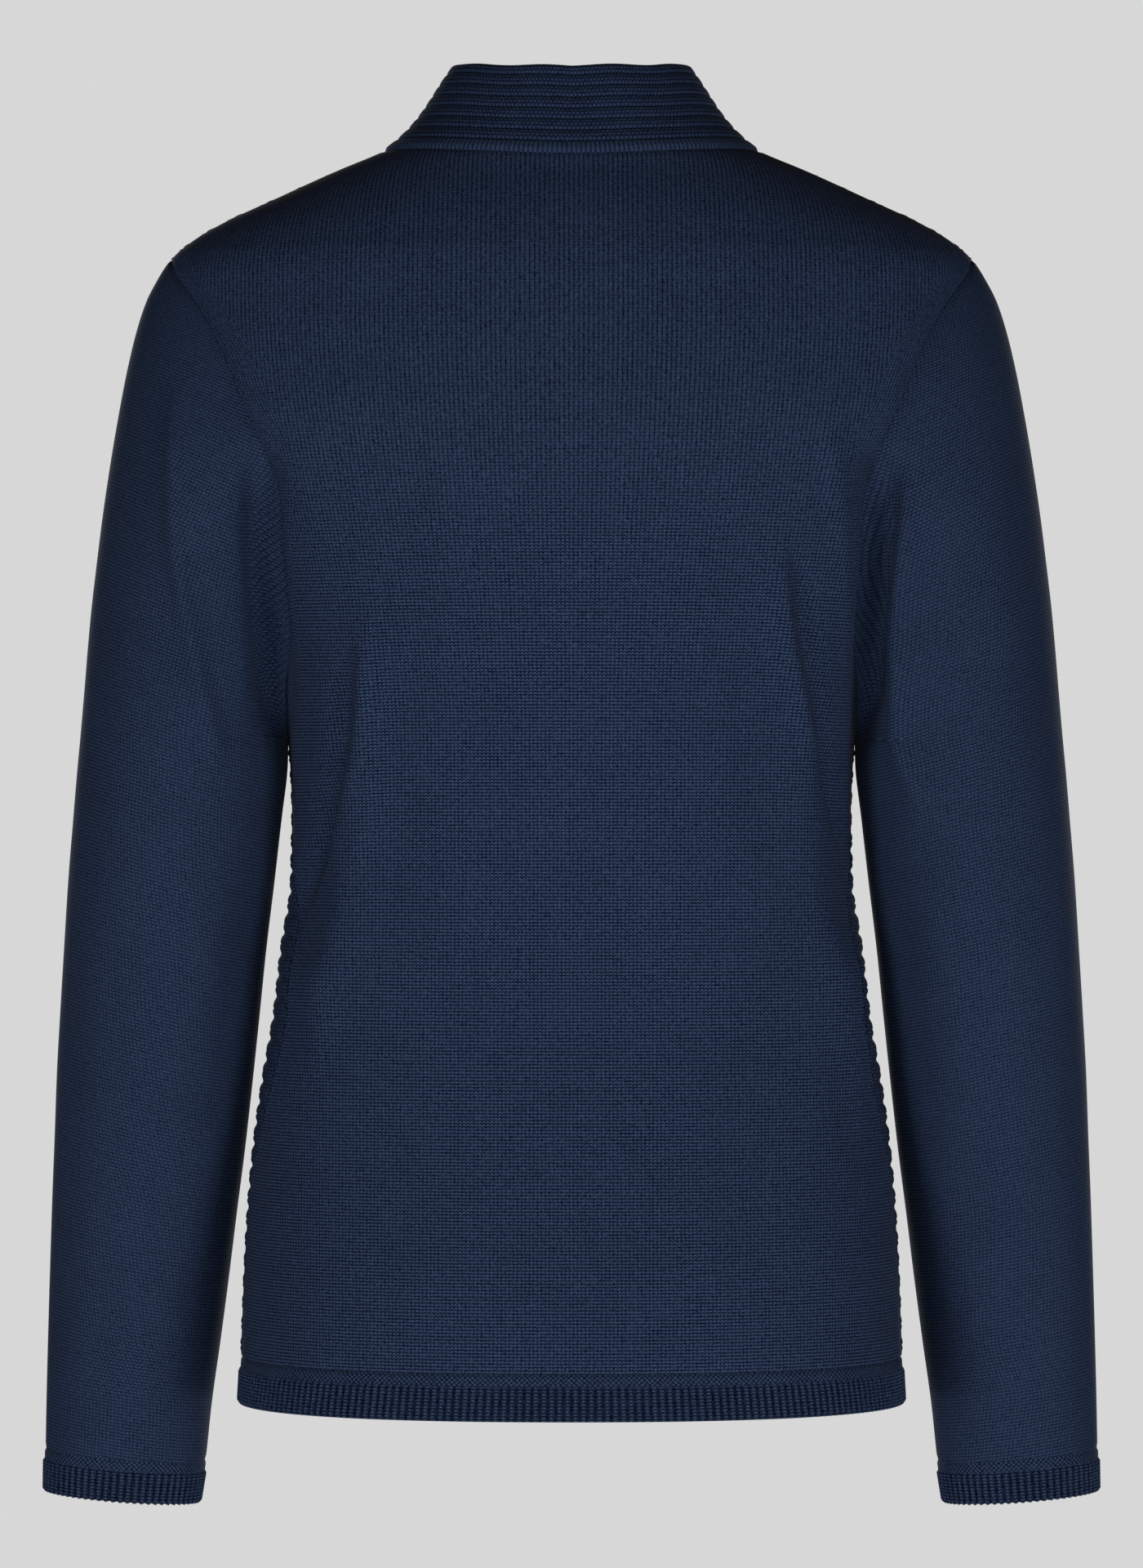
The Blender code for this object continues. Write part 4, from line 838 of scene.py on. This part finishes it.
def neckline():
    """The collar's base from the left front edge round the back to the right one, and the top above it."""
    front_z = PANEL_Z[PANEL_Z >= NECK_END_Z - 1e-9][::-1]
    front_turns = front_angle(front_z, neck_half_width(front_z))
    front_turns[-1] = 90
    back_turns = 90 * (2 * shares(BACK_COLUMNS)[::-1][1:-1] - 1)
    turns = np.concatenate([front_turns, back_turns, -front_turns[::-1]])
    heights = np.concatenate([front_z, 0 * back_turns, front_z[::-1]])
    top = ring_top(turns)
    top[0] = ring_top_front(ZIP_EDGE)
    top[-1] = ring_top_front(-ZIP_EDGE)
    return body(heights, turns), top


def toward_seam(normals, shared, distance, reach=0.012):
    """Directions turned towards those shared along a seam as it comes near."""
    near = (1 - ease(distance / reach))[..., None]
    return unit(normals * (1 - near) + shared * near)


def rise_between(z, bounds):
    """0 at the lower of two heights, 1 at the upper one."""
    return ease((z - bounds[0]) / (bounds[1] - bounds[0]))


def back_panel(material):
    share = shares(BACK_COLUMNS)
    z = PANEL_Z[:, None]
    spread = 2 * share - 1
    turns = 90 * spread - (90 - seam_angle(z, 1)) * spread * abs(spread)
    points = body(z, turns)
    normals = body_normals(z, turns)
    right, left = from_ends(lengths(points, 1), 1)
    top, bottom = from_ends(lengths(points, 0), 0)
    held = (PANEL_Z <= TIP_Z) & (PANEL_Z >= UNDERARM_Z)
    shared = armhole_normals(PANEL_Z[held], 1)[:, None]
    for side, distance in ((-1, right), (1, left)):
        normals[held] = toward_seam(normals[held], mirrored(shared, side), distance[held])
    edge = np.minimum(right, left)
    below = PANEL_Z < UNDERARM_Z
    points = folded(points, normals)
    relief = -tuck(edge, SEAM_TUCK, SEAM_TUCK_WIDTH) - tuck(top) - 0.5 * tuck(bottom)
    relief[below] += WELT * np.exp(-(((edge[below] - WELT_FROM_SEAM) / WELT_WIDTH) ** 2))
    outer = points + relief[..., None] * normals

    arc = right - right[:, [BACK_COLUMNS // 2]]
    past_armhole = np.maximum(UNDERARM_Z - z, 0) + np.maximum(z - TIP_Z, 0)
    facts = {
        "wale": arc / (WALE + (WIDE_WALE - WALE) * rise_between(z, WIDEN_Z)) + 0.5,
        "course": -top[:, [BACK_COLUMNS // 3]] / COURSE,
        "rim": np.hypot(edge, past_armhole) / WALE,
        "run": -lengths(points[:, :1], 0) / COURSE,
        "upright": rise_between(z, UPRIGHT_Z),
    }
    item = shell("back_cloth", outer, points - PANEL_WALL * normals, facts)
    wear_as(item, "back_panel", material, (0.50, 0.63))
    return item


def front_panel(name, side, material):
    rows = len(PANEL_Z)
    z = np.interp(np.linspace(0, rows - 1, 2 * rows - 1), np.arange(rows), PANEL_Z)
    outer_turn = seam_angle(z, -1)
    inner_turn = np.where(z >= 0, 90, front_angle(z, neck_half_width(z)))
    share = shares(FRONT_COLUMNS)
    turns = side * (outer_turn[:, None] + (inner_turn - outer_turn)[:, None] * share)
    z = z[:, None]
    points = body(z, turns)
    normals = body_normals(z, turns)
    from_side, from_zip = from_ends(lengths(points, 1), 1)
    top, bottom = from_ends(lengths(points, 0), 0)
    held = (z[:, 0] <= TIP_Z) & (z[:, 0] >= UNDERARM_Z)
    shared = mirrored(armhole_normals(z[held, 0], -1), side)[:, None]
    normals[held] = toward_seam(normals[held], shared, from_side[held])
    points = folded(points, normals)
    down = top[:, FRONT_COLUMNS // 2]
    ridge = (down * round(down[-1] / RIDGE_PITCH) / down[-1]) % 1
    crown = 1 - (np.minimum(abs(2 * ridge - 1), RIDGE_VALLEY) / RIDGE_VALLEY) ** 3
    relief = RIDGE * crown - RIDGE_LINE * np.exp(-(((ridge - RIDGE_LINE_AT) / RIDGE_LINE_WIDTH) ** 2))
    fade = ease(from_zip / 0.003)
    relief = relief[:, None] * fade - tuck(from_side) - tuck(from_zip, 0.0012) - tuck(bottom)
    outer = points + relief[..., None] * normals
    facts = {
        "wale": from_zip / WIDE_WALE,
        "course": 6 * down[:, None] / RIDGE_PITCH,
        "loops": 0.0,
    }
    under = points - PANEL_WALL * normals
    item = shell(name + "_cloth", outer, under, facts, pointed=True)
    wear_as(item, name, material, (0.25, 0.62))
    return item


def sleeve_piece(name, side, material):
    u = np.linspace(-1, 1, SLEEVE_COLUMNS + 1)
    z = SLEEVE_Z[:, None]
    points = sleeve(z, u)
    normals = sleeve_normals(z, u)
    meeting = unit(normals[:, 0] + normals[:, -1])
    normals[:, 0] = meeting
    normals[:, -1] = meeting
    count = UNDERARM_ROW + 1
    back, front = from_ends(lengths(points, 1), 1)
    for column, facing, distance in ((0, 1, back), (-1, -1, front)):
        x, y = armhole(SLEEVE_Z[:count], facing)
        points[:count, column] = stack(x, y, SLEEVE_Z[:count])
        shared = armhole_normals(SLEEVE_Z[:count], facing)[:, None]
        normals[:count] = toward_seam(normals[:count], shared, distance[:count])
    points[0] = points[0, 0]
    normals[0] = normals[0, 0]
    points = mirrored(points, side)
    normals = mirrored(normals, side)
    points = folded(points, normals)
    _, bottom = from_ends(lengths(points, 0), 0)
    edge = np.minimum(back, front)
    seam = np.hypot(edge, np.maximum(UNDERARM_Z - z, 0) * 3)
    relief = -0.5 * tuck(bottom) - tuck(seam, SEAM_TUCK, SEAM_TUCK_WIDTH)
    relief = relief - tuck(edge, 0.0005, 0.0016) * (z < UNDERARM_Z)
    outer = points + relief[..., None] * normals
    middle = read(SLEEVE, "middle", z)
    rise = read(SLEEVE, "rise", z)
    arc = back - back[:, [SLEEVE_COLUMNS // 2]]
    facts = {
        "wale": (arc + side * rise * z) / WALE,
        "course": (z - rise * (abs(points[..., 0]) - middle)) / COURSE,
        "rim": FASHIONED_WALES + 1.0,
        "run": 0.0,
        "upright": 0.0,
    }
    under = points - PANEL_WALL * normals
    item = shell(name + "_cloth", outer, under, facts, pointed=True, joined_from=UNDERARM_ROW)
    wear_as(item, name, material, (0.33, 0.60))
    return item


def collar_piece(base, top, material):
    rises = np.linspace(0, 1, COLLAR_ROWS + 1)
    grid = np.broadcast_to(rises[:, None], (len(rises), len(base)))
    wavy = COLLAR_WAVE * np.sin(base[:, 0] * 95 + 0.6) * np.sin(base[:, 0] * 41)
    top = top + stack(0, 0, wavy)
    points = collar_wall(np.broadcast_to(base, (*grid.shape, 3)), top, grid)
    normals = unit(np.cross(np.gradient(points, axis=1), np.gradient(points, rises, axis=0)))
    normals *= np.sign((normals * points * (1, 1, 0)).sum(axis=-1, keepdims=True))
    up, from_top = from_ends(lengths(points, 0), 0)
    left, right = from_ends(lengths(points, 1), 1)
    band = grid * COLLAR_BANDS
    bulge = 1 - abs(2 * (band % 1) - 1) ** 4
    relief = COLLAR_RELIEF * bulge - tuck(from_top, 0.0014, 0.0022) - tuck(up)
    relief = relief - tuck(np.minimum(left, right), 0.0012)
    outer = points + relief[..., None] * normals
    arc = left[0] - left[0, len(base) // 2]
    facts = {"wale": arc / WIDE_WALE, "course": 3 * band, "loops": (band < 1) * 1.0}
    item = shell("collar_cloth", outer, points - RIB_WALL * normals, facts)
    wear_as(item, "collar", material, (0.50, 0.075))
    return item


def ribbed_band(name, surface, directions, heights, pitch, closed, material, flat):
    """A hem or cuff: a plain band and a row of crossed stitches on top, then ribs, rounded below.

    surface and directions take (height, place along the edge, from 0 to 1); heights are the top, the
    ribs' top and the bottom.
    """
    top_z, rib_z, bottom_z = heights
    fine = np.linspace(0, 1, 400)
    bottom_row = surface(np.array([[bottom_z]]), fine[None])
    bottom = lengths(bottom_row, 1)[0]
    ribs = int(round(bottom[-1] / pitch))
    count = CELLS_PER_RIB * ribs + 1
    places = np.interp(np.linspace(0, bottom[-1], count), bottom, fine)[None]
    z = np.linspace(top_z, bottom_z, BAND_ROWS)[:, None]
    points = surface(z, places)
    normals = directions(z, places)
    rib = np.linspace(0, ribs, count)[None]
    crest = np.sin(np.pi * (rib % 1)) ** 1.4
    depth = ease((rib_z - z) / RIB_START)
    down, up = from_ends(lengths(points, 0), 0)
    relief = RIB * crest * depth - tuck(down, 0.0007, 0.0018)
    edge = ease(1 - up / EDGE_ROUND) ** 1.5
    relief = relief - EDGE_DEPTH * edge
    if not closed:
        start, end = from_ends(lengths(points, 1), 1)
        relief = relief - tuck(np.minimum(start, end), 0.0010)
    crossed_top = rib_z + CROSSED_HEIGHT
    crossed = ease((crossed_top - z) / 0.0006) * (1 - ease((rib_z - z) / 0.0010))
    relief = relief + CROSSED_RELIEF * crossed
    outer = points + relief[..., None] * normals
    outer[..., 2] += 0.0006 * (1 - crest) * edge
    facts = {
        "wale": rib,
        "course": z / COURSE,
        "crossed": crossed,
        # relief is 1 on the ribs and above them, and lower down between them, where the material paints
        # shade.
        "relief": 1 - depth * (1 - crest),
    }
    under = points - RIB_WALL * normals
    joined = 0 if closed else None
    item = shell(name + "_cloth", outer, under, facts, step=4, joined_from=joined)
    wear_as(item, name, material, flat)
    return item


def hems(material):
    heights = (HEM_TOP_Z, HEM_TOP_Z - HEM_BAND, HEM_Z)

    def back_turn(z, share):
        return seam_angle(z, 1) * (2 * share - 1)

    def left_turn(z, share):
        outer = seam_angle(z, -1)
        return outer + (front_angle(z, ZIP_EDGE) - outer) * share

    def right_turn(z, share):
        return -left_turn(z, share)

    plan = (
        ("hem_back", back_turn, (0.50, 0.027)),
        ("hem_front_left", left_turn, (0.23, 0.027)),
        ("hem_front_right", right_turn, (0.23, 0.027)),
    )
    for name, turn, flat in plan:

        def directions(z, share, turn=turn):
            return body_normals(z, turn(z, share))

        def surface(z, share, turn=turn):
            return folded(body(z, turn(z, share)), body_normals(z, turn(z, share)))

        ribbed_band(
            name, surface, directions, heights, HEM_RIB_PITCH, False, material, flat
        )


def cuff(name, side, material):
    heights = (CUFF_TOP_Z, CUFF_TOP_Z - CUFF_BAND, CUFF_Z)

    def directions(z, share):
        normals = sleeve_normals(z, 2 * share - 1)
        meeting = unit(normals[:, 0] + normals[:, -1])
        normals[:, 0] = meeting
        normals[:, -1] = meeting
        return mirrored(normals, side)

    def surface(z, share):
        normals = directions(z, share)
        return folded(mirrored(sleeve(z, 2 * share - 1), side), normals)

    ribbed_band(
        name, surface, directions, heights, CUFF_RIB_PITCH, True, material, (0.235, 0.026)
    )


# The zip.


def zip_line(x):
    """Points up the front at a distance x from the middle, from hem to collar top, and directions out."""
    far_z = neck_height(ZIP_FAR)
    near_base = body(NECK_END_Z, front_angle(NECK_END_Z, ZIP_EDGE))
    far_base = body(far_z, front_angle(far_z, ZIP_FAR))
    far_top = ring_top(front_angle(far_z, ZIP_FAR))
    share = (abs(x) - ZIP_EDGE) / (ZIP_FAR - ZIP_EDGE)
    rises = np.linspace(0, 0.97, ZIP_LINE_COLLAR_POINTS)
    near = collar_wall(np.tile(near_base, (len(rises), 1)), ring_top_front(ZIP_EDGE), rises)
    far = collar_wall(np.tile(far_base, (len(rises), 1)), far_top, rises)
    above = near + (far - near) * share
    heights = np.linspace(HEM_Z + 0.0002, NECK_END_Z, ZIP_LINE_POINTS)[:-1]
    below = body(heights, front_angle(heights, abs(x)))
    points = np.concatenate([below, above])
    along = np.gradient(points, axis=0)
    normals = unit(stack(0, -along[:, 2], along[:, 1]))
    return mirrored(points, np.sign(x)), normals


def tape(name, side, material):
    across = np.linspace(TAPE_NEAR, TAPE_FAR, 9)
    lines = [zip_line(side * x) for x in across]
    grids = []
    for depth in TAPE_DEPTHS:
        grids.append(np.stack([points - depth * out for points, out in lines], axis=1))
    up = lengths(grids[0], 0)
    facts = {"wale": across[None] / TAPE_WEAVE, "course": up / TAPE_WEAVE}
    item = shell(name + "_cloth", grids[0], grids[1], facts, step=2)
    wear_as(item, name, material, (0.0135, 0.60))
    return item


def teeth(material):
    """The closed chain: teeth from both tapes, each head between two of the other side's."""
    middle, out = zip_line(0.0005)
    middle = middle * (0, 1, 1)
    up = lengths(middle[:, None], 0)[:, 0]
    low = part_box("zip_box")[1].z
    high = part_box("zip_chain")[1].z
    span = np.interp([low, high], middle[:, 2], up)
    count = int((span[1] - span[0]) / TOOTH_PITCH * 2)
    outline = (
        (TOOTH_ROOT, -TOOTH_HALF_HEIGHT),
        (TOOTH_NECK, -TOOTH_HALF_HEIGHT),
        (TOOTH_HEAD, -TOOTH_HEAD_HALF_HEIGHT),
        (TOOTH_TIP, -0.5 * TOOTH_HEAD_HALF_HEIGHT),
        (TOOTH_TIP, 0.5 * TOOTH_HEAD_HALF_HEIGHT),
        (TOOTH_HEAD, TOOTH_HEAD_HALF_HEIGHT),
        (TOOTH_NECK, TOOTH_HALF_HEIGHT),
        (TOOTH_ROOT, TOOTH_HALF_HEIGHT),
    )
    near, far = TOOTH_DEPTHS
    layers = ((near, TOOTH_FACE_SHARE), (near + TOOTH_ROUNDING, 1.0), (far, 1.0))
    corners, faces = [], []
    for number in range(count):
        at = span[0] + (number + 0.5) * TOOTH_PITCH / 2
        side = 1 if number % 2 else -1
        centre = np.array([np.interp(at, up, middle[:, axis]) for axis in range(3)])
        outward = unit(np.array([np.interp(at, up, out[:, axis]) for axis in range(3)]))
        upward = np.cross(outward, (1, 0, 0))
        upward = upward * np.sign(upward[2])
        first = len(corners)
        for depth, scale in layers:
            for x, rise in outline:
                across = np.array([side * x, 0, 0])
                corners.append(centre + across + upward * rise * scale - outward * depth)
        size = len(outline)
        loops = [list(range(first + k * size, first + (k + 1) * size)) for k in range(3)]
        made = [loops[0], loops[2][::-1]]
        for one, other in zip(loops, loops[1:]):
            for k in range(size):
                made.append([one[k - 1], other[k - 1], other[k], one[k]])
        faces += made if side < 0 else [face[::-1] for face in made]
    mesh = bpy.data.meshes.new("zip_teeth")
    mesh.from_pydata([tuple(corner) for corner in corners], [], faces)
    mesh.materials.append(material)
    item = place("zip_teeth", mesh)
    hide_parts("zip_chain")
    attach(item, "garment")
    return item


# The room.


def camera():
    data = bpy.data.cameras.new("camera")
    data.sensor_width = 36.0
    data.lens = CAMERA_LENS
    item = bpy.data.objects.new("camera", data)
    item.location = CAMERA_PLACE
    item.rotation_euler = (np.radians(90), 0, np.radians(180))
    bpy.context.scene.collection.objects.link(item)
    bpy.context.scene.camera = item


def lamp(name, location, width, power):
    data = bpy.data.lights.new(name, "AREA")
    data.size = width
    data.energy = power
    item = bpy.data.objects.new(name, data)
    item.location = location
    direction = Vector(GARMENT_MIDDLE) - Vector(location)
    item.rotation_euler = direction.to_track_quat("-Z", "Y").to_euler()
    item.visible_camera = False
    bpy.context.scene.collection.objects.link(item)


def room():
    world = bpy.data.worlds.new("studio")
    world.use_nodes = True
    world.node_tree.nodes["Background"].inputs["Color"].default_value = (*COLOURS["backdrop"], 1)
    world.cycles_visibility.diffuse = False
    world.cycles_visibility.glossy = False
    bpy.context.scene.world = world
    bpy.context.scene.view_settings.view_transform = "Standard"
    for name, location, width, power in LAMPS:
        lamp(name, location, width, power)
    mesh = bpy.data.meshes.new("floor")
    sides = ((-1, -1), (1, -1), (1, 1), (-1, 1))
    corners = [(x * FLOOR_REACH, y * FLOOR_REACH, FLOOR_Z) for x, y in sides]
    mesh.from_pydata(corners, [], [(0, 1, 2, 3)])
    mesh.materials.append(stage_finish())
    floor = place("floor", mesh)


def main():
    plain = plain_knit("plain_knit", 1.0)
    soft = plain_knit("sleeve_knit", 0.6)
    ridged = ridged_knit()
    ribbed = rib_knit()
    woven = woven_tape()
    metal = dark_metal()
    camera()
    room()
    base, top = neckline()
    back_panel(plain)
    front_panel("front_left", 1, ridged)
    front_panel("front_right", -1, ridged)
    sleeve_piece("sleeve_left", 1, soft)
    sleeve_piece("sleeve_right", -1, soft)
    collar_piece(base, top, ridged)
    hems(ribbed)
    cuff("cuff_left", 1, ribbed)
    cuff("cuff_right", -1, ribbed)
    tape("zip_tape_left", 1, woven)
    tape("zip_tape_right", -1, woven)
    teeth(metal)
    for name in ("zip_box", "zip_slider", "pull_tab"):
        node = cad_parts[name]
        node.data.materials.clear()
        node.data.materials.append(metal)


main()
